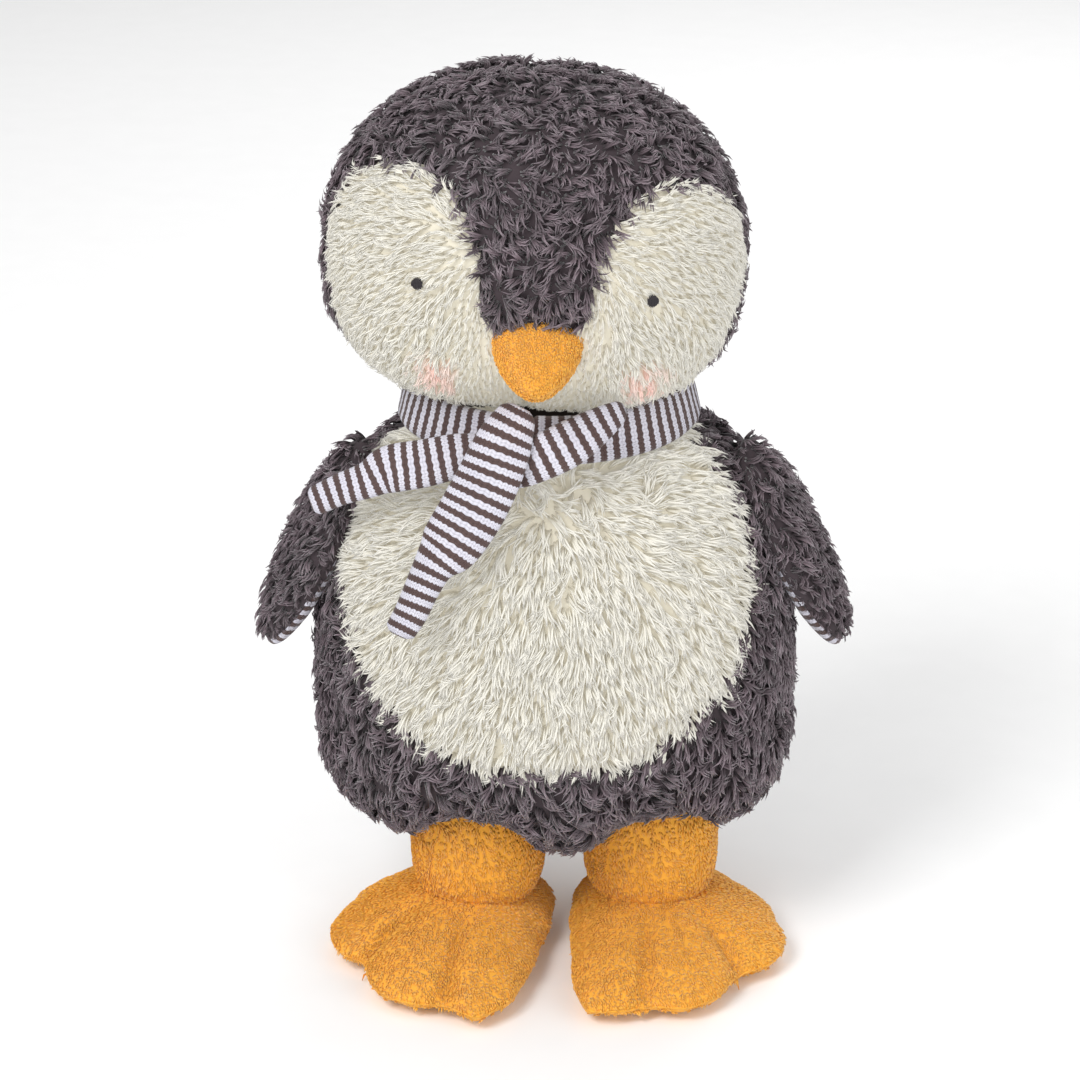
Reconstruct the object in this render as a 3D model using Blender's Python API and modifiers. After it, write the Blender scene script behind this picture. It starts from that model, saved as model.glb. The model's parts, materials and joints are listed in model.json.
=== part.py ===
"""A stuffed plush penguin with a knotted jersey scarf, standing on its two feet.

Every sewn panel, every filling and every stitched detail is its own closed solid.
Frame: +Z is up, the toy faces -Y, and its own left side is +X. The origin is on the
ground, at the middle of the toy's outline. Sizes are in millimetres, times MM.
"""

import math

import bmesh
import bpy
from mathutils import Matrix, Vector

MM = 0.001

# Cloth and clearances
PLUSH_WALL = 2.0 * MM          # long-pile plush: backing and pressed pile
SHORT_PLUSH_WALL = 1.6 * MM    # short-pile plush of the beak, legs and feet
SEAM_GAP = 0.4 * MM            # between two panels along a seam
FILL_GAP = 0.3 * MM            # between a cover and its filling
REST_GAP = 0.6 * MM            # between pieces that only lie against each other
SWING_GAP = 0.5 * MM           # round a ball that turns in its socket

# Where the body's axis stands: the feet reach further forward than the back
AXIS_Y = 14.4 * MM

# Body: a squared pear, half sizes from its widest level
BODY_HALF_WIDTH = 80.0 * MM
BODY_HALF_DEPTH = 58.0 * MM
BODY_WIDEST_Z = 88.0 * MM
BODY_TOP_Z = 194.0 * MM
BODY_BOTTOM_Z = 43.0 * MM
BODY_PLAN_POWER = 2.3
BODY_TOP_POWER = 3.0
BODY_BASE_POWER = 3.4

# Head: a wide rounded block, leaning a little to the toy's own left
HEAD_HALF_WIDTH = 68.0 * MM
HEAD_HALF_DEPTH = 54.0 * MM
HEAD_WIDEST_Z = 249.0 * MM
HEAD_TOP_Z = 306.5 * MM
HEAD_BOTTOM_Z = 198.0 * MM
HEAD_X = -6.5 * MM
HEAD_LEAN_DEG = 4.5
HEAD_PLAN_POWER = 2.2
HEAD_TOP_POWER = 2.1
HEAD_BASE_POWER = 2.7

# Neck: a ball of filling in a short fabric tube, all on one centre
NECK_X = -2.0 * MM
NECK_Z = 195.0 * MM
NECK_TUBE_R = 18.0 * MM
NECK_TUBE_WALL = 4.0 * MM
NECK_TUBE_HALF_OPENING_DEG = 48.0

# Weighted pouch in the lower body
POUCH_HALF_WIDTH = 42.0 * MM
POUCH_HALF_DEPTH = 30.0 * MM
POUCH_HALF_HEIGHT = 14.0 * MM
POUCH_Z = 86.0 * MM
POCKET_GAP = 1.5 * MM           # the pocket in the filling is easy to load from the back

# Legs and the balls that they swing on
LEG_R = 21.0 * MM
LEG_MIDDLE_X = 3.5 * MM
LEG_SPREAD = 30.0 * MM
LEG_Y = -6.0 * MM
HIP_Z = 40.0 * MM
HIP_SOCKET_GAP = 2.0 * MM
ANKLE_R = 19.2 * MM
ANKLE_Z = 22.5 * MM
ANKLE_TAPER = 10.0 * MM
ANKLE_SOCKET_GAP = 1.5 * MM
LEG_OPENING_DEG = 28.0

# Feet: reach of the outline round the ankle, by angle from straight ahead
FOOT_OUTLINE = [
    (-150, 25), (-110, 27), (-75, 27.5), (-45, 35.5), (-28, 49), (-18, 66), (-9, 82),
    (3, 73), (16, 74.5), (25, 69), (36, 59.5), (47, 60), (58, 58), (80, 46), (110, 34),
    (150, 26), (180, 24),
]
FOOT_SIDES = 42
FOOT_SPLAY_RIGHT_DEG = 6.0
FOOT_SPLAY_LEFT_DEG = -6.0
FOOT_HEIGHT = 19.0 * MM
FOOT_TOE_DROP = 8.0 * MM
SOLE_THICKNESS = 2.0 * MM
SOLE_MARGIN = 1.0 * MM         # how far the sole shows past the upper
TOE_SEAM_ANGLES = (3, 36)
TOE_SEAM_START = 30.0 * MM
TOE_SEAM_LENGTH = 30.0 * MM
TOE_THREAD_R = 0.5 * MM

# Wings
WING_LENGTH = 82.0 * MM
WING_HALF_WIDTH = 17.0 * MM
WING_HALF_THICKNESS = 5.2 * MM
WING_STANDOFF = 5.66 * MM       # the pivot's distance outside the body's side
WING_PIVOT_Y = -8.0 * MM
WING_PIVOT_Z = 178.0 * MM
WING_OUT_DEG = 26.0
WING_TWIST_DEG = -14.0
WING_WALL = 1.6 * MM
WING_SHOULDER = 0.78           # share of the half width at the shoulder
WING_SWELL = 0.34              # added past the shoulder, most near the middle
WING_TIP_TAPER = 0.10

# Beak: a short rounded wedge
BEAK_HALF_WIDTH = 14.0 * MM
BEAK_LENGTH = 33.0 * MM
BEAK_HALF_THICKNESS = 9.0 * MM
BEAK_ROOT = (2.0 * MM, -42.0 * MM, -13.0 * MM)   # from the head's centre
BEAK_DROP_DEG = 28.0
BEAK_NARROWING = 0.42          # share of the half width lost by the tip
BEAK_THINNING = 0.35           # share of the half thickness lost by the tip

# Eyes: small embroidered dots
EYE_X = 36.2 * MM
EYE_Z = -0.5 * MM
EYE_R = 2.1 * MM
EYE_THICKNESS = 1.2 * MM

# Scarf: it lies on the body's shoulders, so it is measured from the body's own sizes
SCARF_IN_FROM_SIDE = 33.0 * MM
SCARF_IN_FROM_FRONT = 17.0 * MM
SCARF_RING_X = BODY_HALF_WIDTH - SCARF_IN_FROM_SIDE
SCARF_RING_Y = BODY_HALF_DEPTH - SCARF_IN_FROM_FRONT
SCARF_RING_Z = BODY_TOP_Z
SCARF_HALF_HEIGHT = 6.0 * MM
SCARF_HALF_THICKNESS = 4.2 * MM
SCARF_FRONT_SAG = 2.5 * MM
KNOT_X = -9.0 * MM
KNOT_BEHIND_FRONT = 6.7 * MM
KNOT_ABOVE_RING = 2.0 * MM
KNOT_HALF = (11.0 * MM, 5.5 * MM, 8.5 * MM)
TAIL_THICKNESS = 2.6 * MM

# Tails: x, how far ahead of the body's front, and z above the ring, then the width there
FRONT_TAIL = [(-17, 1.5, 9), (-23, 2, -7), (-31, 3, -25), (-40, 4.5, -43), (-48, 5, -56)]
FRONT_TAIL_WIDTHS = (17, 19, 19, 13, 11)
SIDE_TAIL = [(-23, -8, 1), (-38, -11, -5), (-55, -16, -13), (-69, -20, -21), (-80, -23, -28)]
SIDE_TAIL_WIDTHS = (12, 16, 18, 17, 15)

# Blank care label at the back seam
LABEL_WIDTH = 18.0 * MM
LABEL_LENGTH = 26.0 * MM
LABEL_THICKNESS = 0.6 * MM
LABEL_TOP_Z = 80.0 * MM

# Panel outlines seen from the front, in millimetres. The belly is half of a closed
# outline about its own middle; the face is one cheek from the
# head's centre, running past the middle seam that trims it.
BELLY_MIDDLE_X = -3.0
BELLY_HALF = [
    (0, 84), (30, 88), (53, 103), (64, 126), (65, 150), (58, 171), (46, 186), (30, 197), (0, 203),
]
FACE_CHEEK = [
    (-9, -17), (12, -15), (17.5, -5), (18.5, 8), (23.5, 22), (31, 30), (41, 32.5), (52, 30),
    (61, 21), (65.5, 6), (65, -10), (59, -27), (50, -40), (36, -53), (14, -62), (-9, -64),
]

COLOURS = {
    "dark_plush": (0.105, 0.088, 0.102),
    "cream_plush": (0.76, 0.73, 0.62),
    "orange_plush": (0.86, 0.42, 0.08),
    "jersey": (0.50, 0.47, 0.50),
    "thread": (0.03, 0.025, 0.03),
    "filling": (0.86, 0.86, 0.84),
    "pouch_cloth": (0.70, 0.66, 0.58),
    "label_tape": (0.90, 0.90, 0.88),
}


# ---------------------------------------------------------------- scene helpers

def clear_scene():
    for obj in list(bpy.data.objects):
        bpy.data.objects.remove(obj, do_unlink=True)


def collection(name):
    group = bpy.data.collections.new(name)
    bpy.context.scene.collection.children.link(group)
    return group


def material(name, finish):
    mat = bpy.data.materials.new(name)
    mat.use_nodes = True
    shader = mat.node_tree.nodes["Principled BSDF"]
    shader.inputs["Base Color"].default_value = (*COLOURS[finish], 1.0)
    shader.inputs["Roughness"].default_value = 0.9
    shader.inputs["Metallic"].default_value = 0.0
    mat.diffuse_color = (*COLOURS[finish], 1.0)
    return mat


class Workshop:
    """The collections, the joint empties and the ways a piece is added."""

    def __init__(self):
        self.pieces = collection("plush_penguin")
        self.tools = collection("cutters")
        self.frame = self.empty("frame", Vector((0, AXIS_Y, 0)), None)

    def empty(self, name, at, parent):
        obj = bpy.data.objects.new(name, None)
        obj.location = at
        obj.empty_display_size = 10 * MM
        obj.parent = parent
        self.pieces.objects.link(obj)
        return obj

    def pivot(self, name, at):
        """An empty on a joint's axis; its pieces keep the body's own coordinates."""
        return self.empty(name, Vector(at), self.frame)

    def add(self, name, mesh, finish, pivot=None):
        """A piece whose mesh is in body coordinates, hung from a joint's empty."""
        obj = bpy.data.objects.new(name, mesh)
        mesh.name = name
        mesh.materials.clear()
        mesh.materials.append(material(name, finish))
        mesh.shade_smooth()
        mesh.set_sharp_from_angle(angle=math.radians(40))
        self.pieces.objects.link(obj)
        self.hang(obj, pivot)
        return obj

    def cutter(self, name, mesh):
        obj = bpy.data.objects.new(name, mesh)
        obj.hide_render = True
        obj.display_type = "WIRE"
        self.tools.objects.link(obj)
        self.hang(obj, None)
        return obj

    def hang(self, obj, pivot):
        obj.parent = pivot or self.frame
        if pivot:
            obj.matrix_parent_inverse = Matrix.Translation(-pivot.location)


def cut(obj, tool, operation="DIFFERENCE"):
    mod = obj.modifiers.new(operation.lower() + "_" + tool.name, "BOOLEAN")
    mod.operation = operation
    mod.solver = "EXACT"
    mod.object = tool
    return mod


def mesh_from(bm, name):
    """A mesh of outward triangles, split the same way on a cover and on its filling."""
    mesh = bpy.data.meshes.new(name)
    bmesh.ops.triangulate(bm, faces=bm.faces[:], quad_method="FIXED")
    bmesh.ops.recalc_face_normals(bm, faces=bm.faces[:])
    bm.to_mesh(mesh)
    bm.free()
    return mesh


def baked_mesh(obj):
    """The evaluated mesh of a helper object, which is then removed."""
    bpy.context.view_layer.update()
    graph = bpy.context.evaluated_depsgraph_get()
    mesh = bpy.data.meshes.new_from_object(obj.evaluated_get(graph))
    mesh.transform(obj.matrix_world)
    bpy.data.objects.remove(obj, do_unlink=True)
    bm = bmesh.new()
    bm.from_mesh(mesh)
    bpy.data.meshes.remove(mesh)
    bmesh.ops.remove_doubles(bm, verts=bm.verts[:], dist=0.01 * MM)
    return mesh_from(bm, "baked")


# ---------------------------------------------------------------- stuffed forms

class StuffedForm:
    """A rounded block: one plan power, and other powers above and below its widest level."""

    def __init__(self, centre, half_width, half_depth, up, down, powers, lean_deg=0.0):
        self.centre = Vector(centre)
        self.sizes = (half_width, half_depth, up, down)
        self.plan_power, self.up_power, self.down_power = powers
        self.lean = Matrix.Rotation(math.radians(lean_deg), 4, "Y")

    def surface(self, direction, inset, back_stretch=1.0):
        width, depth, up, down = (size - inset for size in self.sizes)
        height = up if direction.z > 0 else down
        power = self.up_power if direction.z > 0 else self.down_power
        plan = abs(direction.x / width) ** self.plan_power + abs(direction.y / depth) ** self.plan_power
        reach = (plan ** (power / self.plan_power) + abs(direction.z / height) ** power) ** (-1 / power)
        point = direction * reach
        if point.y > 0:
            point.y *= back_stretch
        return point

    def mesh(self, name, inset=0.0, around=26, rings=12, back_stretch=1.0):
        bm = bmesh.new()
        bmesh.ops.create_uvsphere(bm, u_segments=around, v_segments=rings, radius=1.0)
        clear_of_seams = Matrix.Rotation(math.radians(360 / around / 4), 3, "Z")
        for vert in bm.verts:
            direction = clear_of_seams @ vert.co.normalized()
            vert.co = self.surface(direction, inset, back_stretch)
        bmesh.ops.transform(bm, matrix=Matrix.Translation(self.centre) @ self.lean, verts=bm.verts[:])
        return mesh_from(bm, name)

    def half_width_at(self, z):
        """Half the width at a height of the toy, on an upright form."""
        rise = z - self.centre.z
        height, power = (self.sizes[2], self.up_power) if rise > 0 else (self.sizes[3], self.down_power)
        return self.sizes[0] * (1 - abs(rise / height) ** power) ** (1 / power)

    def on_surface(self, x, z, lift):
        """The front point at (x, z) from the centre, lifted, and its outward normal."""
        width, depth, up, down = self.sizes
        height = up if z > 0 else down
        power = self.up_power if z > 0 else self.down_power
        level = (1 - abs(z / height) ** power) ** (self.plan_power / power)
        y = -depth * (level - abs(x / width) ** self.plan_power) ** (1 / self.plan_power)
        steepness = level ** (power / self.plan_power - 1)
        normal = Vector((
            math.copysign(steepness * abs(x / width) ** (self.plan_power - 1) / width, x),
            -steepness * abs(y / depth) ** (self.plan_power - 1) / depth,
            math.copysign(abs(z / height) ** (power - 1) / height, z),
        )).normalized()
        place = Matrix.Translation(self.centre) @ self.lean
        return place @ (Vector((x, y, z)) + normal * lift), (self.lean @ normal).normalized()


BODY = StuffedForm(
    (0, 0, BODY_WIDEST_Z), BODY_HALF_WIDTH, BODY_HALF_DEPTH,
    BODY_TOP_Z - BODY_WIDEST_Z, BODY_WIDEST_Z - BODY_BOTTOM_Z,
    (BODY_PLAN_POWER, BODY_TOP_POWER, BODY_BASE_POWER),
)
HEAD = StuffedForm(
    (HEAD_X, 0, HEAD_WIDEST_Z), HEAD_HALF_WIDTH, HEAD_HALF_DEPTH,
    HEAD_TOP_Z - HEAD_WIDEST_Z, HEAD_WIDEST_Z - HEAD_BOTTOM_Z,
    (HEAD_PLAN_POWER, HEAD_TOP_POWER, HEAD_BASE_POWER), HEAD_LEAN_DEG,
)
POUCH = StuffedForm(
    (0, 4 * MM, POUCH_Z), POUCH_HALF_WIDTH, POUCH_HALF_DEPTH,
    POUCH_HALF_HEIGHT, POUCH_HALF_HEIGHT, (2.4, 2.2, 2.2),
)


def ball_mesh(name, centre, radius, around=16, rings=8):
    bm = bmesh.new()
    bmesh.ops.create_uvsphere(bm, u_segments=around, v_segments=rings, radius=radius)
    bmesh.ops.translate(bm, vec=Vector(centre), verts=bm.verts[:])
    return mesh_from(bm, name)


def block_mesh(name, low, high):
    low, high = Vector(low), Vector(high)
    bm = bmesh.new()
    bmesh.ops.create_cube(bm, size=1.0)
    bmesh.ops.scale(bm, vec=high - low, verts=bm.verts[:])
    bmesh.ops.translate(bm, vec=(high + low) / 2, verts=bm.verts[:])
    return mesh_from(bm, name)


def panel_prism(name, outline, place, y_low, y_high, grow=0.0):
    """A smooth closed outline in the XZ plane, pushed through from y_low to y_high."""
    curve = bpy.data.curves.new(name, "CURVE")
    curve.dimensions = "2D"
    curve.fill_mode = "BOTH"
    curve.resolution_u = 4
    curve.extrude = (y_high - y_low) / 2
    spline = curve.splines.new("BEZIER")
    spline.bezier_points.add(len(outline) - 1)
    spline.use_cyclic_u = True
    corners = [Vector(point) * MM for point in outline]
    count = len(corners)
    turning = sum(corners[i - 1].cross(corners[i]) for i in range(count))
    for i, knot in enumerate(spline.bezier_points):
        along = corners[(i + 1) % count] - corners[i - 1]
        away = Vector((along.y, -along.x)).normalized() * math.copysign(grow, turning)
        knot.co = (*(corners[i] + away), 0)
        knot.handle_left_type = knot.handle_right_type = "AUTO"
    obj = bpy.data.objects.new(name, curve)
    bpy.context.scene.collection.objects.link(obj)
    upright = Matrix.Rotation(math.radians(90), 4, "X")
    obj.matrix_world = place @ Matrix.Translation((0, (y_low + y_high) / 2, 0)) @ upright
    return baked_mesh(obj)


def belly_outline():
    right = [(BELLY_MIDDLE_X + x, z) for x, z in BELLY_HALF]
    left = [(BELLY_MIDDLE_X - x, z) for x, z in BELLY_HALF[-2:0:-1]]
    return right + left


def cheek_outline(side):
    return [(side * x, z) for x, z in FACE_CHEEK]


# ---------------------------------------------------------------- body

def hip_centre(side):
    return (LEG_MIDDLE_X + side * LEG_SPREAD, LEG_Y, HIP_Z)


def body_cutters(shop):
    """Sockets for the neck and the legs, which every body piece is cut by."""
    neck_ball = ball_mesh("neck_socket", (NECK_X, 0, NECK_Z), NECK_TUBE_R + SWING_GAP, 22, 12)
    neck = shop.cutter("neck_socket", neck_ball)
    tools = [neck]
    for side, label in ((1, "left"), (-1, "right")):
        mesh = ball_mesh("hip_socket", hip_centre(side), LEG_R + HIP_SOCKET_GAP)
        tools.append(shop.cutter(label + "_hip_socket", mesh))
    return tools


def body_pieces(shop, sockets):
    inside = shop.cutter("body_inside", BODY.mesh("body_inside", PLUSH_WALL))
    reach = 120 * MM
    far = 260 * MM
    front = shop.cutter("front_side", block_mesh("front", (-reach, -reach, 0), (reach, -SEAM_GAP / 2, far)))
    place = Matrix.Identity(4)
    belly_cut = panel_prism("belly_cut", belly_outline(), place, -reach, -SEAM_GAP / 2)
    belly_hole = panel_prism("belly_hole", belly_outline(), place, -reach * 1.1, 0, SEAM_GAP)
    belly_cut = shop.cutter("belly_outline", belly_cut)
    belly_hole = shop.cutter("belly_opening", belly_hole)

    belly = shop.add("belly_panel", BODY.mesh("belly_panel"), "cream_plush")
    cut(belly, inside)
    cut(belly, belly_cut, "INTERSECT")
    border = shop.add("body_front_border", BODY.mesh("body_front_border"), "dark_plush")
    cut(border, inside)
    cut(border, front, "INTERSECT")
    cut(border, belly_hole)
    panels = [belly, border]
    for side, label in ((1, "left"), (-1, "right")):
        edges = sorted((side * SEAM_GAP / 2, side * reach))
        block = block_mesh("half", (edges[0], SEAM_GAP / 2, 0), (edges[1], reach, far))
        half = shop.cutter("back_side_" + label, block)
        back = shop.add("body_back_" + label, BODY.mesh("body_back_" + label), "dark_plush")
        cut(back, inside)
        cut(back, half, "INTERSECT")
        panels.append(back)

    filling = shop.add("body_stuffing", BODY.mesh("body_stuffing", PLUSH_WALL + FILL_GAP), "filling")
    pocket = POUCH.mesh("pouch_pocket", -POCKET_GAP, 16, 8, back_stretch=4.0)
    cut(filling, shop.cutter("pouch_pocket", pocket))
    shop.add("pellet_pouch", POUCH.mesh("pellet_pouch", 0.0, 16, 8), "pouch_cloth")
    for piece in panels + [filling]:
        for socket in sockets:
            cut(piece, socket)


def care_label(shop):
    """A blank folded tape, hanging from the centre-back seam."""
    low = LABEL_TOP_Z - LABEL_LENGTH
    back = BODY_HALF_DEPTH + REST_GAP
    corner = (LABEL_WIDTH / 2, back + LABEL_THICKNESS, LABEL_TOP_Z)
    mesh = block_mesh("care_label", (-LABEL_WIDTH / 2, back, low), corner)
    shop.add("care_label", mesh, "label_tape")


# ---------------------------------------------------------------- neck and head

def turned(shop, name, profile, steps, place, finish, pivot, wall=0.0):
    """A profile in the XZ plane turned about Z, with a wall to the inside if one is given."""
    bm = bmesh.new()
    verts = [bm.verts.new((r, 0, z)) for r, z in profile]
    for first, second in zip(verts, verts[1:]):
        bm.edges.new((first, second))
    mesh = bpy.data.meshes.new(name)
    bm.to_mesh(mesh)
    bm.free()
    mesh.transform(Matrix.Translation(place))
    obj = bpy.data.objects.new(name, mesh)
    mesh.materials.append(material(name, finish))
    shop.pieces.objects.link(obj)
    shop.hang(obj, pivot)
    axis = bpy.data.objects.new(name + "_axis", None)
    axis.location = place
    shop.pieces.objects.link(axis)
    shop.hang(axis, None)
    screw = obj.modifiers.new("turn", "SCREW")
    screw.object = axis
    screw.steps = screw.render_steps = steps
    screw.use_merge_vertices = True
    screw.merge_threshold = 0.02 * MM
    screw.use_smooth_shade = True
    if wall:
        solid = obj.modifiers.new("wall", "SOLIDIFY")
        solid.thickness = wall
        solid.offset = -1
    return obj


def arc(radius, centre_z, start_deg, end_deg, steps):
    """Points on a circle, by angle from straight up."""
    points = []
    for step in range(steps + 1):
        angle = math.radians(start_deg + (end_deg - start_deg) * step / steps)
        points.append((radius * math.sin(angle), centre_z + radius * math.cos(angle)))
    return points


def neck_pieces(shop, turn_pivot, tilt_pivot):
    centre = Vector((NECK_X, 0, NECK_Z))
    core_r = NECK_TUBE_R - NECK_TUBE_WALL - SWING_GAP
    shop.add("neck_stuffing", ball_mesh("neck_stuffing", centre, core_r, 14, 8), "filling", turn_pivot)
    tube = arc(NECK_TUBE_R, 0, NECK_TUBE_HALF_OPENING_DEG, 180 - NECK_TUBE_HALF_OPENING_DEG, 4)
    turned(shop, "neck_tube", tube, 18, centre, "dark_plush", tilt_pivot, NECK_TUBE_WALL)


def head_pieces(shop, pivot, neck_socket):
    inside = shop.cutter("head_inside", HEAD.mesh("head_inside", PLUSH_WALL))
    place = Matrix.Translation(HEAD.centre) @ HEAD.lean
    reach = 120 * MM
    faces = {}
    openings = {}
    for side, label in ((1, "left"), (-1, "right")):
        outline = cheek_outline(side)
        faces[label] = shop.cutter(
            "face_outline_" + label, panel_prism("face", outline, place, -reach, -SEAM_GAP / 2))
        openings[label] = shop.cutter(
            "face_opening_" + label, panel_prism("hole", outline, place, -reach, 0, SEAM_GAP))
    front = block_mesh("front", (-reach, -reach, -reach), (reach, -SEAM_GAP / 2, reach))
    front.transform(place)
    front = shop.cutter("head_front_side", front)

    panels = []
    for side, label in ((1, "left"), (-1, "right")):
        edges = sorted((side * SEAM_GAP / 2, side * reach))
        block = block_mesh("half", (edges[0], -reach, -reach), (edges[1], 0, reach))
        block.transform(place)
        half = shop.cutter("face_side_" + label, block)
        face = shop.add("face_" + label, HEAD.mesh("face_" + label), "cream_plush", pivot)
        cut(face, inside)
        cut(face, faces[label], "INTERSECT")
        cut(face, half, "INTERSECT")
        panels.append(face)
    crown = shop.add("head_crown", HEAD.mesh("head_crown"), "dark_plush", pivot)
    cut(crown, inside)
    cut(crown, front, "INTERSECT")
    for opening in openings.values():
        cut(crown, opening)
    panels.append(crown)
    for side, label in ((1, "left"), (-1, "right")):
        edges = sorted((side * SEAM_GAP / 2, side * reach))
        block = block_mesh("half", (edges[0], SEAM_GAP / 2, -reach), (edges[1], reach, reach))
        block.transform(place)
        half = shop.cutter("head_back_side_" + label, block)
        back = shop.add("head_back_" + label, HEAD.mesh("head_back_" + label), "dark_plush", pivot)
        cut(back, inside)
        cut(back, half, "INTERSECT")
        panels.append(back)
    filling = shop.add("head_stuffing", HEAD.mesh("head_stuffing", PLUSH_WALL + FILL_GAP), "filling", pivot)
    for piece in panels + [filling]:
        cut(piece, neck_socket)


def beak_mesh(name, inset):
    """A wedge that narrows and thins from its root to a rounded tip, along -Y."""
    bm = bmesh.new()
    bmesh.ops.create_uvsphere(bm, u_segments=16, v_segments=8, radius=1.0)
    length = BEAK_LENGTH - inset
    for vert in bm.verts:
        unit = vert.co.normalized()
        along = (1 - unit.y) / 2
        narrow = 1 - BEAK_NARROWING * along ** 1.5
        vert.co = Vector((
            unit.x * (BEAK_HALF_WIDTH - inset) * narrow,
            -length * along,
            unit.z * (BEAK_HALF_THICKNESS - inset) * (1 - BEAK_THINNING * along),
        ))
    place = (
        Matrix.Translation(HEAD.centre) @ HEAD.lean @ Matrix.Translation(BEAK_ROOT)
        @ Matrix.Rotation(math.radians(BEAK_DROP_DEG), 4, "X")
    )
    bmesh.ops.transform(bm, matrix=place, verts=bm.verts[:])
    return mesh_from(bm, name), place


def beak_pieces(shop, pivot):
    skin_form, place = beak_mesh("beak_skin", 0.0)
    inside = shop.cutter("beak_inside", beak_mesh("beak_inside", SHORT_PLUSH_WALL)[0])
    head = shop.cutter("head_behind_beak", HEAD.mesh("head_behind_beak", -REST_GAP))
    reach = 60 * MM
    for name, low, high in (("beak_top", SEAM_GAP / 2, reach), ("beak_underside", -reach, -SEAM_GAP / 2)):
        block = block_mesh("half", (-reach, -reach, low), (reach, reach, high))
        block.transform(place)
        half = shop.cutter(name + "_side", block)
        skin = shop.add(name, skin_form.copy(), "orange_plush", pivot)
        cut(skin, inside)
        cut(skin, half, "INTERSECT")
        cut(skin, head)
    fill_form = beak_mesh("beak_stuffing", SHORT_PLUSH_WALL + FILL_GAP)[0]
    filling = shop.add("beak_stuffing", fill_form, "filling", pivot)
    cut(filling, head)


def eyes(shop, pivot):
    for side, label in ((1, "left"), (-1, "right")):
        lift = EYE_THICKNESS / 2 + FILL_GAP
        point, normal = HEAD.on_surface(side * EYE_X, EYE_Z, lift)
        bm = bmesh.new()
        bmesh.ops.create_uvsphere(bm, u_segments=10, v_segments=6, radius=1.0)
        bmesh.ops.scale(bm, vec=(EYE_R, EYE_R, EYE_THICKNESS / 2), verts=bm.verts[:])
        facing = normal.to_track_quat("Z", "Y").to_matrix().to_4x4()
        bmesh.ops.transform(bm, matrix=Matrix.Translation(point) @ facing, verts=bm.verts[:])
        shop.add("eye_" + label, mesh_from(bm, "eye"), "thread", pivot)


# ---------------------------------------------------------------- legs and feet

def leg_profile(inset, start_deg):
    """Hip ball, straight tube, taper and ankle ball, from the top down."""
    hip = arc(LEG_R - inset, HIP_Z, start_deg, 90, 4)
    ankle = arc(ANKLE_R - inset, ANKLE_Z, 90, 180, 4)
    shoulder = (LEG_R - inset, ANKLE_Z + ANKLE_TAPER)
    return hip + [shoulder] + ankle


def leg_pieces(shop, side, label, pivot):
    centre = Vector((LEG_MIDDLE_X + side * LEG_SPREAD, LEG_Y, 0))
    turned(shop, label + "_leg_cover", leg_profile(0, LEG_OPENING_DEG), 16, centre,
           "orange_plush", pivot, SHORT_PLUSH_WALL)
    turned(shop, label + "_leg_stuffing", leg_profile(SHORT_PLUSH_WALL + FILL_GAP, 0), 16, centre,
           "filling", pivot)


def foot_reach(angle_deg):
    """The outline's reach at an angle, eased between the named points."""
    count = len(FOOT_OUTLINE)
    for index in range(count):
        start, near = FOOT_OUTLINE[index]
        end, far = FOOT_OUTLINE[(index + 1) % count]
        span = (end - start) % 360
        ahead = (angle_deg - start) % 360
        if ahead <= span:
            share = ahead / span
            eased = share * share * (3 - 2 * share)
            return (near + (far - near) * (0.5 * share + 0.5 * eased)) * MM
    return FOOT_OUTLINE[0][1] * MM


def foot_mesh(name, side, inset, skirt=0.0):
    """A low cushion on the sole, inset from the upper's skin; a skirt carries it down."""
    low = SOLE_THICKNESS + FILL_GAP
    height = FOOT_HEIGHT - low - inset
    splay = FOOT_SPLAY_LEFT_DEG if side > 0 else FOOT_SPLAY_RIGHT_DEG
    bm = bmesh.new()
    bmesh.ops.create_uvsphere(bm, u_segments=FOOT_SIDES, v_segments=8, radius=1.0)
    for vert in bm.verts:
        unit = vert.co.normalized()
        share = math.hypot(unit.x, unit.y)
        angle = math.degrees(math.atan2(unit.x * side, -unit.y)) if share > 1e-6 else 0.0
        reach = foot_reach(angle - splay) - inset
        flat = Vector((unit.x, unit.y)).normalized() * reach * share if share > 1e-6 else Vector((0, 0))
        rise = (height - FOOT_TOE_DROP * share) * unit.z if unit.z > -1e-6 else -skirt
        vert.co = Vector((flat.x, flat.y, low + rise))
    bmesh.ops.remove_doubles(bm, verts=bm.verts[:], dist=0.01 * MM)
    bmesh.ops.dissolve_limit(bm, angle_limit=math.radians(0.05), verts=bm.verts[:], edges=bm.edges[:])
    centre = (LEG_MIDDLE_X + side * LEG_SPREAD, LEG_Y, 0)
    bmesh.ops.translate(bm, vec=Vector(centre), verts=bm.verts[:])
    return mesh_from(bm, name)


def sole_mesh(name, side):
    """The foot's outline as a flat pad."""
    splay = FOOT_SPLAY_LEFT_DEG if side > 0 else FOOT_SPLAY_RIGHT_DEG
    bm = bmesh.new()
    ring = bmesh.ops.create_circle(bm, cap_ends=True, segments=FOOT_SIDES, radius=1.0)["verts"]
    for vert in ring:
        angle = math.degrees(math.atan2(vert.co.x * side, -vert.co.y))
        reach = foot_reach(angle - splay) + SOLE_MARGIN
        vert.co = vert.co.normalized() * reach
    top = bmesh.ops.extrude_face_region(bm, geom=bm.faces[:])["geom"]
    lifted = [item for item in top if isinstance(item, bmesh.types.BMVert)]
    bmesh.ops.translate(bm, vec=(0, 0, SOLE_THICKNESS), verts=lifted)
    centre = (LEG_MIDDLE_X + side * LEG_SPREAD, LEG_Y, 0)
    bmesh.ops.translate(bm, vec=Vector(centre), verts=bm.verts[:])
    return mesh_from(bm, name)


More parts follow.
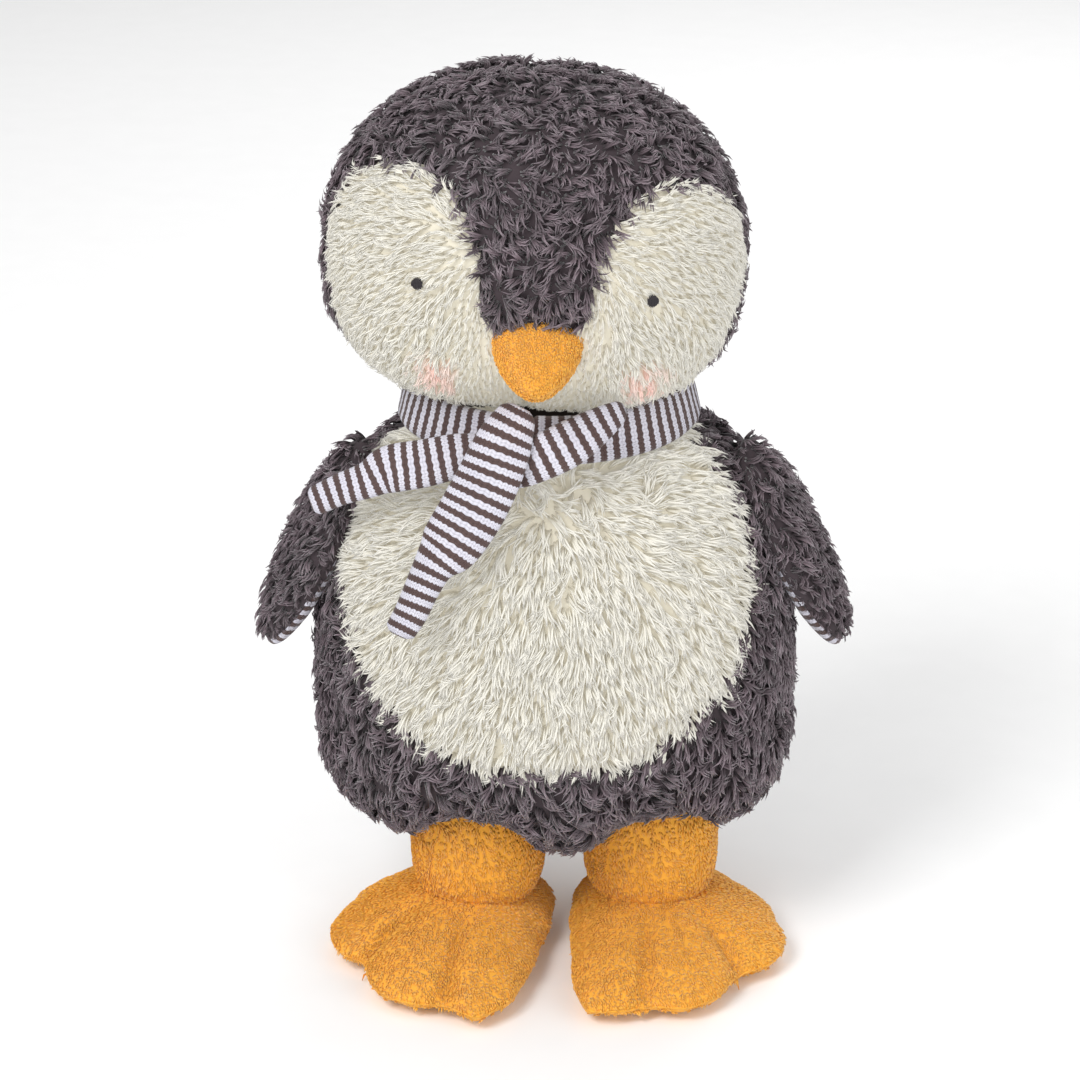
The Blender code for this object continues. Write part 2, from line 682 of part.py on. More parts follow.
def toe_seam_points(side, angle_deg):
    """A line over the upper between two toes, just above its surface."""
    splay = FOOT_SPLAY_LEFT_DEG if side > 0 else FOOT_SPLAY_RIGHT_DEG
    angle = math.radians(angle_deg + splay)
    low = SOLE_THICKNESS + FILL_GAP
    reach = foot_reach(angle_deg)
    points = []
    for step in range(6):
        distance = TOE_SEAM_START + TOE_SEAM_LENGTH * step / 5
        share = min(distance / reach, 0.97)
        rise = (FOOT_HEIGHT - low - FOOT_TOE_DROP * share) * math.sqrt(1 - share * share)
        lift = TOE_THREAD_R + 3 * FILL_GAP
        points.append(Vector((
            LEG_MIDDLE_X + side * (LEG_SPREAD + distance * math.sin(angle)),
            LEG_Y - distance * math.cos(angle),
            low + rise + lift,
        )))
    return points


def thread_mesh(name, points, radius):
    curve = bpy.data.curves.new(name, "CURVE")
    curve.dimensions = "3D"
    curve.bevel_depth = radius
    curve.bevel_resolution = 1
    curve.use_fill_caps = True
    spline = curve.splines.new("POLY")
    spline.points.add(len(points) - 1)
    for knot, point in zip(spline.points, points):
        knot.co = (*point, 1.0)
    obj = bpy.data.objects.new(name, curve)
    bpy.context.scene.collection.objects.link(obj)
    return baked_mesh(obj)


def foot_pieces(shop, side, label, pivot):
    socket_at = (LEG_MIDDLE_X + side * LEG_SPREAD, LEG_Y, ANKLE_Z)
    socket = shop.cutter(label + "_ankle_socket", ball_mesh("socket", socket_at, ANKLE_R + ANKLE_SOCKET_GAP))
    wall = SHORT_PLUSH_WALL
    inside = shop.cutter(label + "_foot_inside", foot_mesh("inside", side, wall, skirt=wall))
    upper = shop.add(label + "_foot_upper", foot_mesh("upper", side, 0.0), "orange_plush", pivot)
    cut(upper, inside)
    cut(upper, socket)
    filling = shop.add(label + "_foot_stuffing", foot_mesh("fill", side, wall + FILL_GAP), "filling", pivot)
    cut(filling, socket)
    shop.add(label + "_foot_sole", sole_mesh("sole", side), "orange_plush", pivot)
    for index, angle in enumerate(TOE_SEAM_ANGLES, 1):
        name = f"{label}_toe_stitch_{index}"
        mesh = thread_mesh(name, toe_seam_points(side, angle), TOE_THREAD_R)
        shop.add(name, mesh, "orange_plush", pivot)


# ---------------------------------------------------------------- wings

def wing_pivot(side):
    return (side * (BODY.half_width_at(WING_PIVOT_Z) + WING_STANDOFF), WING_PIVOT_Y, WING_PIVOT_Z)


def wing_place(side):
    """From the wing's own frame (length -Z, width Y, outer face +X) to the body's."""
    out = Matrix.Rotation(math.radians(-side * WING_OUT_DEG), 4, "Y")
    twist = Matrix.Rotation(math.radians(side * WING_TWIST_DEG), 4, "Z")
    flip = Matrix.Diagonal((side, 1, 1, 1))
    return Matrix.Translation(wing_pivot(side)) @ out @ twist @ flip


def wing_mesh(name, side, inset):
    """A leaf: narrow at the shoulder, widest past the middle, round at the tip."""
    bm = bmesh.new()
    bmesh.ops.create_uvsphere(bm, u_segments=16, v_segments=10, radius=1.0)
    half = WING_LENGTH / 2
    for vert in bm.verts:
        unit = vert.co.normalized()
        along = (1 - unit.z) / 2
        square = (abs(unit.x) ** 2.2 + abs(unit.y) ** 2.2 + abs(unit.z) ** 2.6) ** (-1 / 2.4)
        unit = unit * square
        swell = math.sin(math.pi * along * 0.92)
        fullness = WING_SHOULDER + WING_SWELL * swell - WING_TIP_TAPER * along
        vert.co = Vector((
            unit.x * (WING_HALF_THICKNESS - inset),
            unit.y * (WING_HALF_WIDTH - inset) * fullness,
            unit.z * (half - inset) - half + WING_HALF_THICKNESS,
        ))
    bmesh.ops.transform(bm, matrix=wing_place(side), verts=bm.verts[:])
    return mesh_from(bm, name)


def wing_pieces(shop, side, label, pivot):
    inside = shop.cutter(label + "_wing_inside", wing_mesh("inside", side, WING_WALL))
    body = shop.cutter(label + "_wing_body", BODY.mesh("body", -REST_GAP))
    reach = 130 * MM
    halves = (("outer", SEAM_GAP / 2, reach, "dark_plush"), ("lining", -reach, -SEAM_GAP / 2, "jersey"))
    for part, low, high, finish in halves:
        block = block_mesh("half", (low, -reach, -reach), (high, reach, reach))
        block.transform(wing_place(side))
        bm = bmesh.new()
        bm.from_mesh(block)
        half = shop.cutter(f"{label}_wing_{part}_side", mesh_from(bm, "half"))
        skin = shop.add(f"{label}_wing_{part}", wing_mesh(part, side, 0), finish, pivot)
        cut(skin, inside)
        cut(skin, half, "INTERSECT")
        cut(skin, body)
    fill_form = wing_mesh("fill", side, WING_WALL + FILL_GAP)
    filling = shop.add(label + "_wing_stuffing", fill_form, "filling", pivot)
    cut(filling, body)


# ---------------------------------------------------------------- scarf

def scarf_band(shop):
    """The rolled strip round the neck, lower at the front."""
    bm = bmesh.new()
    around, section = 26, 8
    bmesh.ops.create_grid(bm, x_segments=around, y_segments=section, size=0.5)
    for vert in bm.verts:
        turn = 2 * math.pi * (vert.co.x + 0.5)
        roll = 2 * math.pi * (vert.co.y + 0.5)
        outward = Vector((math.cos(turn), math.sin(turn), 0))
        middle = Vector((
            NECK_X + SCARF_RING_X * outward.x,
            SCARF_RING_Y * outward.y,
            SCARF_RING_Z - SCARF_FRONT_SAG * max(-outward.y, 0),
        ))
        vert.co = middle + outward * SCARF_HALF_THICKNESS * math.cos(roll)
        vert.co.z += SCARF_HALF_HEIGHT * math.sin(roll)
    bmesh.ops.remove_doubles(bm, verts=bm.verts[:], dist=0.01 * MM)
    shop.add("scarf_band", mesh_from(bm, "scarf_band"), "jersey")


def scarf_knot(shop):
    centre = Vector((KNOT_X, -(BODY_HALF_DEPTH - KNOT_BEHIND_FRONT), SCARF_RING_Z + KNOT_ABOVE_RING))
    bm = bmesh.new()
    bmesh.ops.create_uvsphere(bm, u_segments=14, v_segments=8, radius=1.0)
    for vert in bm.verts:
        unit = vert.co.normalized()
        square = sum(abs(part) ** 2.8 for part in unit) ** (-1 / 2.8)
        vert.co = centre + Vector(unit[i] * square * KNOT_HALF[i] for i in range(3))
    shop.add("scarf_knot", mesh_from(bm, "scarf_knot"), "jersey")


def tail_route(tail):
    """The tail's own points in body coordinates."""
    front = Vector((0, -BODY_HALF_DEPTH, SCARF_RING_Z))
    return [front + Vector((x, -ahead, z)) * MM for x, ahead, z in tail]


def tail_mesh(name, route, widths):
    """A flat strip along its route; its width lies across the route, in the XZ plane."""
    columns, rows = 2, len(route) - 1
    bm = bmesh.new()
    bmesh.ops.create_grid(bm, x_segments=columns, y_segments=rows, size=0.5)
    for vert in bm.verts:
        index = round((vert.co.y + 0.5) * rows)
        before, after = route[max(index - 1, 0)], route[min(index + 1, rows)]
        along = after - before
        across = Vector((-along.z, 0, along.x)).normalized()
        vert.co = route[index] + across * widths[index] * MM * vert.co.x
    obj = bpy.data.objects.new(name, mesh_from(bm, name))
    bpy.context.scene.collection.objects.link(obj)
    solid = obj.modifiers.new("wall", "SOLIDIFY")
    solid.thickness = TAIL_THICKNESS
    solid.offset = 0
    bevel = obj.modifiers.new("edge", "BEVEL")
    bevel.width = TAIL_THICKNESS * 0.3
    bevel.segments = 1
    return baked_mesh(obj)


def scarf_tails(shop):
    tails = (("front", FRONT_TAIL, FRONT_TAIL_WIDTHS), ("side", SIDE_TAIL, SIDE_TAIL_WIDTHS))
    for label, tail, widths in tails:
        route = tail_route(tail)
        pivot = shop.pivot(label + "_tail_axis", route[0])
        shop.add("scarf_tail_" + label, tail_mesh("tail", route, widths), "jersey", pivot)


# ---------------------------------------------------------------- assembly

def main():
    clear_scene()
    shop = Workshop()
    neck_at = (NECK_X, 0, NECK_Z)
    turn = shop.pivot("neck_turn_axis", neck_at)
    tilt = shop.pivot("neck_tilt_axis", neck_at)
    nod = shop.pivot("head_nod_axis", neck_at)

    sockets = body_cutters(shop)
    body_pieces(shop, sockets)
    care_label(shop)
    neck_pieces(shop, turn, tilt)
    head_pieces(shop, nod, sockets[0])
    beak_pieces(shop, nod)
    eyes(shop, nod)
    for side, label in ((1, "left"), (-1, "right")):
        hip = shop.pivot(label + "_hip_axis", hip_centre(side))
        ankle = shop.pivot(label + "_ankle_axis", (LEG_MIDDLE_X + side * LEG_SPREAD, LEG_Y, ANKLE_Z))
        wing = shop.pivot(label + "_wing_axis", wing_pivot(side))
        leg_pieces(shop, side, label, hip)
        foot_pieces(shop, side, label, ankle)
        wing_pieces(shop, side, label, wing)
    scarf_band(shop)
    scarf_knot(shop)
    scarf_tails(shop)


main()
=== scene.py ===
# %% [markdown]
# # A plush penguin with a knotted jersey scarf
# The toy is sewn from three fabrics: a long curly dark plush, a long silky cream plush and a short
# orange plush, with a striped jersey for the scarf and the wing linings. The working model gives the
# size, the place and the joints of every piece. This script puts the real surfaces on that frame.

# %% Load the frame
import json
import math

import bmesh
import bpy
import numpy as np
from mathutils import Matrix, Vector, noise
from mathutils.bvhtree import BVHTree
from mathutils.kdtree import KDTree


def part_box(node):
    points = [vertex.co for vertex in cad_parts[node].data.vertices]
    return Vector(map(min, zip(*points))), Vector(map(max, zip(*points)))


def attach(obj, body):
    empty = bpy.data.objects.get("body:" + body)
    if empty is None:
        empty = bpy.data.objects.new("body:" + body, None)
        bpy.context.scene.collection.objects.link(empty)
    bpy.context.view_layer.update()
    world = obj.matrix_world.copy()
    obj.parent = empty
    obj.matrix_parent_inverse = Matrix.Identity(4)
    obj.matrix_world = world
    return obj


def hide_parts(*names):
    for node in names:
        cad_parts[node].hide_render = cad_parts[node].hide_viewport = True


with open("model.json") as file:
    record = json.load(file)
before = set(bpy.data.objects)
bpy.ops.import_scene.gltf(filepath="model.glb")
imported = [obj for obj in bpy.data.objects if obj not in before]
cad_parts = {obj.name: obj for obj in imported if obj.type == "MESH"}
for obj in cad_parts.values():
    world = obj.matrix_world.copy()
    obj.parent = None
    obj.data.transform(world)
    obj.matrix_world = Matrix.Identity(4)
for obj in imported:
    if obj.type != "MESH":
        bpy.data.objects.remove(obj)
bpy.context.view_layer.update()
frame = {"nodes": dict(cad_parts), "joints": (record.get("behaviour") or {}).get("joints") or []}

MM = 0.001
nodes = frame["nodes"]
joint_at = {joint["name"]: Vector(joint["pos_m"]) for joint in frame["joints"]}

# %% [markdown]
# ## Camera, floor and light
# The toy is seen from the front and a little from above, through a long lens, as in a studio. The
# light is soft from all round, with a broad key from the upper left, so that every lock of the plush
# shows a light side and a dark side. The camera comes first, because it decides how much detail shows.

# %% Camera, floor and light
AXIS_Y = joint_at["head_turn"].y
VIEW_DISTANCE = 1.15
VIEW_ELEVATION = math.radians(23)
VIEW_WIDTH = 0.367            # what the frame takes in at the toy's distance
VIEW_TARGET = Vector((-0.005, AXIS_Y, 0.143))

camera = bpy.data.objects.new("camera", bpy.data.cameras.new("camera"))
bpy.context.scene.collection.objects.link(camera)
back = Vector((0, -math.cos(VIEW_ELEVATION), math.sin(VIEW_ELEVATION)))
camera.location = VIEW_TARGET + back * VIEW_DISTANCE
camera.rotation_euler = back.to_track_quat("Z", "Y").to_euler()
camera.data.sensor_width = 36
camera.data.lens = 36 * VIEW_DISTANCE / VIEW_WIDTH
bpy.context.scene.camera = camera


def area_light(name, place, size, power):
    light = bpy.data.objects.new(name, bpy.data.lights.new(name, "AREA"))
    light.data.size = size
    light.data.energy = power
    light.location = place
    light.rotation_euler = (Vector(place) - VIEW_TARGET).to_track_quat("Z", "Y").to_euler()
    bpy.context.scene.collection.objects.link(light)


area_light("key", (-0.75, -0.9, 1.25), 0.7, 17)
area_light("fill", (1.0, -0.8, 0.6), 1.0, 5)
area_light("low", (-0.1, -1.4, 0.2), 0.8, 4)
area_light("rim", (0.4, 1.1, 1.0), 0.9, 6)
world = bpy.data.worlds.new("studio")
bpy.context.scene.world = world
world.use_nodes = True
world.node_tree.nodes["Background"].inputs["Color"].default_value = (1, 1, 1, 1)
world.node_tree.nodes["Background"].inputs["Strength"].default_value = 0.62
bpy.context.scene.view_settings.view_transform = "Standard"
print("lens in mm:", round(camera.data.lens, 1))

# %% [markdown]
# ## Sums on node sockets
# A material or a Geometry Nodes tree is easier to read as an expression than as a drawing. `Value`
# stands for a node's output and knows plus, minus, times and so on. `Graph.node` adds any node: first
# its settings, then its inputs, which may be numbers or other values.

# %% The node helpers
def named(sockets, name):
    if isinstance(name, int):
        return sockets[name]
    return next(socket for socket in sockets if socket.enabled and socket.name == name)


class Value:
    """One output of a node, which can be used in sums."""

    def __init__(self, graph, socket):
        self.graph, self.socket = graph, socket

    def also(self, name):
        """Another output of the same node."""
        return Value(self.graph, named(self.socket.node.outputs, name))

    def __add__(self, other):
        return self.graph.maths("ADD", self, other)

    def __sub__(self, other):
        return self.graph.maths("SUBTRACT", self, other)

    def __rsub__(self, other):
        return self.graph.maths("SUBTRACT", other, self)

    def __mul__(self, other):
        return self.graph.maths("MULTIPLY", self, other)

    def __truediv__(self, other):
        return self.graph.maths("DIVIDE", self, other)

    def __rtruediv__(self, other):
        return self.graph.maths("DIVIDE", other, self)

    __radd__, __rmul__ = __add__, __mul__


class Graph:
    """A node tree, filled by one method."""

    def __init__(self, tree):
        self.tree = tree

    def node(self, kind, settings=None, inputs=None, output=0):
        made = self.tree.nodes.new(kind)
        for name, value in (settings or {}).items():
            if name == "stops":
                self.set_stops(made.color_ramp, value)
            else:
                setattr(made, name, value)
        for name, value in (inputs or {}).items():
            socket = named(made.inputs, name)
            for part in value if isinstance(value, list) else [value]:
                if isinstance(part, Value):
                    self.tree.links.new(part.socket, socket)
                else:
                    socket.default_value = part
        return Value(self, named(made.outputs, output))

    def set_stops(self, ramp, stops):
        while len(ramp.elements) < len(stops):
            ramp.elements.new(0.5)
        for element, (place, colour) in zip(ramp.elements, stops):
            element.position, element.color = place, (*colour, 1)

    def maths(self, operation, first, second=0.0):
        return self.node("ShaderNodeMath", {"operation": operation}, {0: first, 1: second})

    def clamp(self, value):
        return self.node("ShaderNodeClamp", {}, {"Value": value})

    def vectors(self, operation, first, second):
        name = "Scale" if operation == "SCALE" else 1
        return self.node("ShaderNodeVectorMath", {"operation": operation}, {0: first, name: second})

    def mix(self, factor, first, second):
        inputs = {"Factor": factor, "A": first, "B": second}
        return self.node("ShaderNodeMix", {"data_type": "RGBA"}, inputs, "Result")

    def noise(self, place, size, detail=2.0):
        """Noise whose grains are about that size in metres."""
        return self.node("ShaderNodeTexNoise", {}, {"Vector": place, "Scale": 1 / size, "Detail": detail})


def new_finish(name, roughness, sheen=0.0):
    material = bpy.data.materials.new(name)
    material.use_nodes = True
    shader = material.node_tree.nodes["Principled BSDF"]
    shader.inputs["Roughness"].default_value = roughness
    shader.inputs["Sheen Weight"].default_value = sheen
    shader.inputs["Sheen Roughness"].default_value = 0.4
    shader.inputs["Specular IOR Level"].default_value = 0.25
    return material, Graph(material.node_tree), shader


# %% The floor
def floor_finish():
    material, graph, shader = new_finish("pale_floor", 0.7)
    place = graph.node("ShaderNodeTexCoord", {}, {}, "Object")
    speck = graph.noise(place, 0.02)
    tone = graph.mix(speck, (0.90, 0.90, 0.90, 1), (0.93, 0.93, 0.93, 1))
    graph.tree.links.new(tone.socket, shader.inputs["Base Color"])
    return material


bpy.ops.mesh.primitive_plane_add(size=12)
floor = bpy.context.object
floor.name = "floor"
floor.data.materials.append(floor_finish())

# %% [markdown]
# ## What plush is made of
# Plush is a knitted backing with thousands of fibres standing in it, and they lie together in locks.
# Hair curves would be the usual tool, but they wouldn't leave the scene as a mesh. Here a lock is a
# handful of thin closed spikes, and a Geometry Nodes tree plants locks all over the cloth. A strand
# carries two numbers: how far along it a point is, and which strand it belongs to. They become a map,
# so that the material can darken the roots and vary the strands, on every copy alike.

# %% One lock of fibres
PILE_MAP = "OFBake"


def grow_strand(bm, layers, rng, root, bend, shape):
    """A three-sided spike that leans over more and more towards +X, and ends in a point."""
    along_layer, side_layer = layers
    steps = shape["steps"]
    heading = math.radians(rng.normal(0, shape["scatter"]))
    curl = math.radians(rng.normal(bend, 7))
    lean_from, lean_to = (math.radians(angle + rng.normal(0, 6)) for angle in shape["lean"])
    length = rng.uniform(0.75, 1.1)
    width = shape["width"] * rng.uniform(0.75, 1.2)
    centre = Vector((*root, 0.0))
    rings = []
    for step in range(steps + 1):
        share = step / steps
        lean = lean_from + (lean_to - lean_from) * share
        turn = heading + curl * (2 * share - 0.5)
        ahead = Vector((math.sin(lean) * math.cos(turn), math.sin(lean) * math.sin(turn), math.cos(lean)))
        gather = Vector((*root, 0.0)) * -shape["gather"] / steps
        if step:
            centre = centre + ahead * length / steps + gather
        side = ahead.cross(Vector((0, 0, 1))).normalized()
        up = side.cross(ahead)
        count = 3 if step < steps else 1
        radius = width * (1 - 0.45 * share) if step < steps else 0.0
        ring = []
        for corner in range(count):
            angle = 2 * math.pi * corner / 3
            vert = bm.verts.new(centre + (side * math.cos(angle) + up * math.sin(angle)) * radius)
            vert[along_layer] = share
            vert[side_layer] = corner / 2
            ring.append(vert)
        rings.append(ring)
    bm.faces.new(rings[0][::-1])
    for low, high in zip(rings, rings[1:]):
        for corner in range(3):
            after = (corner + 1) % 3
            if len(high) == 3:
                bm.faces.new((low[corner], low[after], high[after], high[corner]))
            else:
                bm.faces.new((low[corner], low[after], high[0]))


def lock_variants(name, kinds, seed, **shape):
    """A collection of slightly different locks, one unit long, standing on +Z and lying to +X."""
    rng = np.random.default_rng(seed)
    locks = bpy.data.collections.new(name)
    for kind in range(kinds):
        bm = bmesh.new()
        layers = [bm.verts.layers.float.new(layer) for layer in ("along", "side")]
        bend = rng.normal(0, shape["curl"])
        for strand in range(shape["strands"]):
            angle, reach = rng.uniform(0, 2 * math.pi), shape["spread"] * math.sqrt(rng.uniform())
            grow_strand(bm, layers, rng, (reach * math.cos(angle), reach * math.sin(angle)), bend, shape)
        bmesh.ops.recalc_face_normals(bm, faces=bm.faces[:])
        mesh = bpy.data.meshes.new(f"{name}_{kind}")
        bm.to_mesh(mesh)
        bm.free()
        mesh.shade_smooth()
        locks.objects.link(bpy.data.objects.new(mesh.name, mesh))
    triangles = sum(len(face.vertices) - 2 for face in mesh.polygons)
    print(name, "has", kinds, "kinds of lock, of about", triangles, "triangles")
    return locks


curly_locks = lock_variants(
    "curly_locks", 8, 11, strands=6, steps=3, spread=0.19, gather=0.85,
    lean=(26, 86), scatter=11, curl=42, width=0.060)
silky_locks = lock_variants(
    "silky_locks", 8, 12, strands=6, steps=3, spread=0.17, gather=0.75,
    lean=(40, 90), scatter=8, curl=24, width=0.046)
velour_locks = lock_variants(
    "velour_locks", 5, 13, strands=4, steps=2, spread=0.40, gather=0.0,
    lean=(50, 86), scatter=8, curl=6, width=0.15)

# %% The tree that plants the locks
def pile_tree():
    tree = bpy.data.node_groups.new("lay_pile", "GeometryNodeTree")
    sockets = (
        ("Cloth", "Geometry"), ("Locks", "Collection"), ("Spacing", "Float"), ("Length", "Float"),
        ("Swirl", "Float"), ("Swirl Size", "Float"), ("Ruffle", "Float"), ("Seed", "Int"),
        ("Finish", "Material"),
    )
    for name, kind in sockets:
        tree.interface.new_socket(name, in_out="INPUT", socket_type="NodeSocket" + kind)
    tree.interface.new_socket("Plush", in_out="OUTPUT", socket_type="NodeSocketGeometry")
    graph = Graph(tree)
    given = graph.node("NodeGroupInput")
    seed = given.also("Seed")

    def written(name, kind="FLOAT"):
        return graph.node("GeometryNodeInputNamedAttribute", {"data_type": kind}, {"Name": name})

    def drawn(low, high, offset, kind="FLOAT"):
        inputs = {"Min": low, "Max": high, "Seed": seed + offset}
        return graph.node("FunctionNodeRandomValue", {"data_type": kind}, inputs, "Value")

    spacing = given.also("Spacing")
    points = graph.node(
        "GeometryNodeDistributePointsOnFaces", {"distribute_method": "POISSON"},
        {"Mesh": given, "Selection": written("outer", "BOOLEAN"), "Distance Min": spacing,
         "Density Max": 1.9 / (spacing * spacing), "Seed": seed})
    place = graph.node("GeometryNodeInputPosition")
    swirl = graph.node(
        "ShaderNodeTexNoise", {}, {"Vector": place, "Scale": 1 / given.also("Swirl Size"), "Detail": 1.0},
        "Color")
    swirl = graph.vectors("SUBTRACT", swirl, (0.5, 0.5, 0.5))
    swirl = graph.vectors("SCALE", swirl, given.also("Swirl") * 4)
    ruffle = graph.vectors("SCALE", drawn((-1, -1, -1), (1, 1, 1), 1, "FLOAT_VECTOR"), given.also("Ruffle"))
    lying = graph.vectors("ADD", graph.vectors("ADD", written("comb", "FLOAT_VECTOR"), swirl), ruffle)
    turn = graph.node(
        "FunctionNodeAxesToRotation", {"primary_axis": "Z", "secondary_axis": "X"},
        {"Primary Axis": points.also("Normal"), "Secondary Axis": lying})
    locks = graph.node(
        "GeometryNodeCollectionInfo", {},
        {"Collection": given.also("Locks"), "Separate Children": True, "Reset Children": True})
    size = written("pile") * given.also("Length") * drawn(0.78, 1.18, 2)
    planted = graph.node(
        "GeometryNodeInstanceOnPoints", {},
        {"Points": points, "Instance": locks, "Pick Instance": True,
         "Instance Index": drawn(0, 60, 3, "INT"), "Rotation": turn, "Scale": size})
    planted = graph.node(
        "GeometryNodeStoreNamedAttribute", {"data_type": "FLOAT", "domain": "INSTANCE"},
        {"Geometry": planted, "Name": "shade", "Value": drawn(0.0, 1.0, 4)})
    planted = graph.node("GeometryNodeRealizeInstances", {}, {"Geometry": planted})

    def mapped(geometry, shade, along):
        blush = written("blush")
        across = shade * 0.47 * (1 - blush) + blush * 0.97
        pair = graph.node("ShaderNodeCombineXYZ", {}, {"X": across, "Y": along})
        return graph.node(
            "GeometryNodeStoreNamedAttribute", {"data_type": "FLOAT2", "domain": "CORNER"},
            {"Geometry": geometry, "Name": PILE_MAP, "Value": pair})

    strands = mapped(planted, written("shade") + written("side") * 0.02, written("along") * 0.96 + 0.02)
    flat = graph.node("ShaderNodeSeparateXYZ", {}, {0: place})
    backing = mapped(
        given, 0.5 + (flat + flat.also("Y") * 0.6) * 0.4,
        0.08 + (flat.also("Z") + flat.also("Y") * 0.3) * 0.1)
    plush = graph.node("GeometryNodeJoinGeometry", {}, {"Geometry": [backing, strands]})
    plush = graph.node("GeometryNodeRealizeInstances", {}, {"Geometry": plush})
    plush = graph.node("GeometryNodeSetMaterial", {}, {"Geometry": plush, "Material": given.also("Finish")})
    result = tree.nodes.new("NodeGroupOutput")
    tree.links.new(plush.socket, result.inputs["Plush"])
    return tree


PILE_TREE = pile_tree()


def settled(obj):
    """The object with its modifiers made into its mesh."""
    bpy.context.view_layer.update()
    graph = bpy.context.evaluated_depsgraph_get()
    mesh = bpy.data.meshes.new_from_object(
        obj.evaluated_get(graph), preserve_all_data_layers=True, depsgraph=graph)
    obj.modifiers.clear()
    old = obj.data
    obj.data = mesh
    mesh.name = obj.name
    bpy.data.meshes.remove(old)
    return obj


def triangles_of(obj):
    return sum(len(face.vertices) - 2 for face in obj.data.polygons)


def lay_pile(obj, **inputs):
    """Plants the locks on a cloth, and leaves one plain mesh."""
    modifier = obj.modifiers.new("pile", "NODES")
    modifier.node_group = PILE_TREE
    for item in PILE_TREE.interface.items_tree:
        key = item.name.lower().replace(" ", "_")
        if item.in_out == "INPUT" and key in inputs:
            modifier[item.identifier] = inputs[key]
    settled(obj)
    for name in ("comb", "pile", "blush", "outer", "along", "side", "shade"):
        layer = obj.data.attributes.get(name)
        if layer:
            obj.data.attributes.remove(layer)
    obj.data.shade_smooth()
    print(obj.name, "has", triangles_of(obj), "triangles")
    return obj


# %% [markdown]
# ## The finish of each plush
# Between the fibres little light comes back, so the roots are dark and the tips are pale. Whole
# strands also differ a little. Both are read from the strand's own map, so the pattern can't slide.
# Pale fibres pass light on to each other, many times over; a faint glow of their own colour stands
# for the bounces that the renderer leaves out.

# %% The plush finishes
def pile_finish(name, stops, mottle, sheen, blush=None):
    """A ramp from root to tip; mottle is how far one strand's brightness is from another's."""
    material, graph, shader = new_finish(name, 0.85, sheen)
    where = graph.node("ShaderNodeUVMap", {"uv_map": PILE_MAP})
    across = graph.node("ShaderNodeSeparateXYZ", {}, {0: where})
    along = across.also("Y")
    # Painted shade: the ramp makes the roots, and the backing at the root end of the map, darker than the
    # tips, for the light that doesn't get down between the fibres.
    colour = graph.node("ShaderNodeValToRGB", {"stops": stops}, {"Fac": along})
    strand = graph.maths("MINIMUM", across, 0.48) * 2
    colour = graph.vectors("SCALE", colour, 1 + (strand - 0.5) * mottle)
    if blush:
        rosy = graph.clamp((across - 0.5) * 2)
        colour = graph.mix(rosy, colour, (*blush, 1))
        # Painted glow: where a blush is given, the finish also emits its own colour faintly, in place of the
        # light bounced between pale fibres.
        graph.tree.links.new(colour.socket, shader.inputs["Emission Color"])
        shader.inputs["Emission Strength"].default_value = 0.30
    graph.tree.links.new(colour.socket, shader.inputs["Base Color"])
    return material


dark_finish = pile_finish(
    "dark_plush", [(0.0, (0.030, 0.022, 0.025)), (0.5, (0.112, 0.084, 0.096)), (1.0, (0.28, 0.232, 0.258))],
    0.8, 0.25)
# The blush given here also switches on the painted glow of the cream plush.
cream_finish = pile_finish(
    "cream_plush", [(0.0, (0.55, 0.51, 0.41)), (0.35, (0.585, 0.565, 0.50)), (1.0, (0.61, 0.595, 0.555))],
    0.06, 0.15, (0.93, 0.42, 0.36))
orange_finish = pile_finish(
    "orange_plush", [(0.0, (0.82, 0.38, 0.045)), (0.4, (0.86, 0.42, 0.055)), (1.0, (0.88, 0.48, 0.11))],
    0.12, 0.2)

# %% [markdown]
# ## Stuffed forms
# The body and the head are bags of cloth filled with fibre. A round block with its own squareness
# gives the form, a cube's grid wrapped on it gives even squares, and the nearest panel of the working
# model says which cloth each square is cut from. Then the cloth is simulated: pressure from inside
# swells each panel between its seams, and the stitching holds the seams in.

# %% Forms and panels
def cube_grid(cuts):
    """Unit directions and square faces, spread evenly round a ball."""
    bm = bmesh.new()
    bmesh.ops.create_cube(bm, size=2.0)
    bmesh.ops.subdivide_edges(bm, edges=bm.edges[:], cuts=cuts, use_grid_fill=True)
    bm.verts.ensure_lookup_table()
    points = np.array([vert.co for vert in bm.verts])
    faces = np.array([[vert.index for vert in face.verts] for face in bm.faces])
    bm.free()
    points = np.tan(points * math.pi / 4)
    return points / np.linalg.norm(points, axis=1)[:, None], faces


def block_reach(directions, sizes, powers):
    """How far a rounded block reaches in each direction: width, depth, up and down, and its powers."""
    width, depth, up, down = sizes
    plan_power, up_power, down_power = powers
    above = directions[:, 2] > 0
    height = np.where(above, up, down)
    power = np.where(above, up_power, down_power)
    plan = np.abs(directions[:, 0] / width) ** plan_power + np.abs(directions[:, 1] / depth) ** plan_power
    return (plan ** (power / plan_power) + np.abs(directions[:, 2] / height) ** power) ** (-1 / power)


def surface_of(*names):
    """A search tree over some nodes of the working model."""
    points, faces = [], []
    for name in names:
        mesh = nodes[name].data
        start = len(points)
        points += [vert.co.copy() for vert in mesh.vertices]
        faces += [[start + index for index in face.vertices] for face in mesh.polygons]
    return BVHTree.FromPolygons(points, faces)


def new_object(name, points, faces):
    mesh = bpy.data.meshes.new(name)
    mesh.from_pydata(np.asarray(points).tolist(), [], [list(face) for face in faces])
    obj = bpy.data.objects.new(name, mesh)
    bpy.context.scene.collection.objects.link(obj)
    return obj


def points_of(obj):
    points = np.empty(len(obj.data.vertices) * 3, np.float32)
    obj.data.vertices.foreach_get("co", points)
    return points.reshape(-1, 3).astype(float)


def normals_of(obj):
    obj.data.update()
    normals = np.empty(len(obj.data.vertices) * 3, np.float32)
    obj.data.vertices.foreach_get("normal", normals)
    return normals.reshape(-1, 3).astype(float)


def set_points(obj, points):
    obj.data.vertices.foreach_set("co", np.asarray(points, np.float32).ravel())
    obj.data.update()


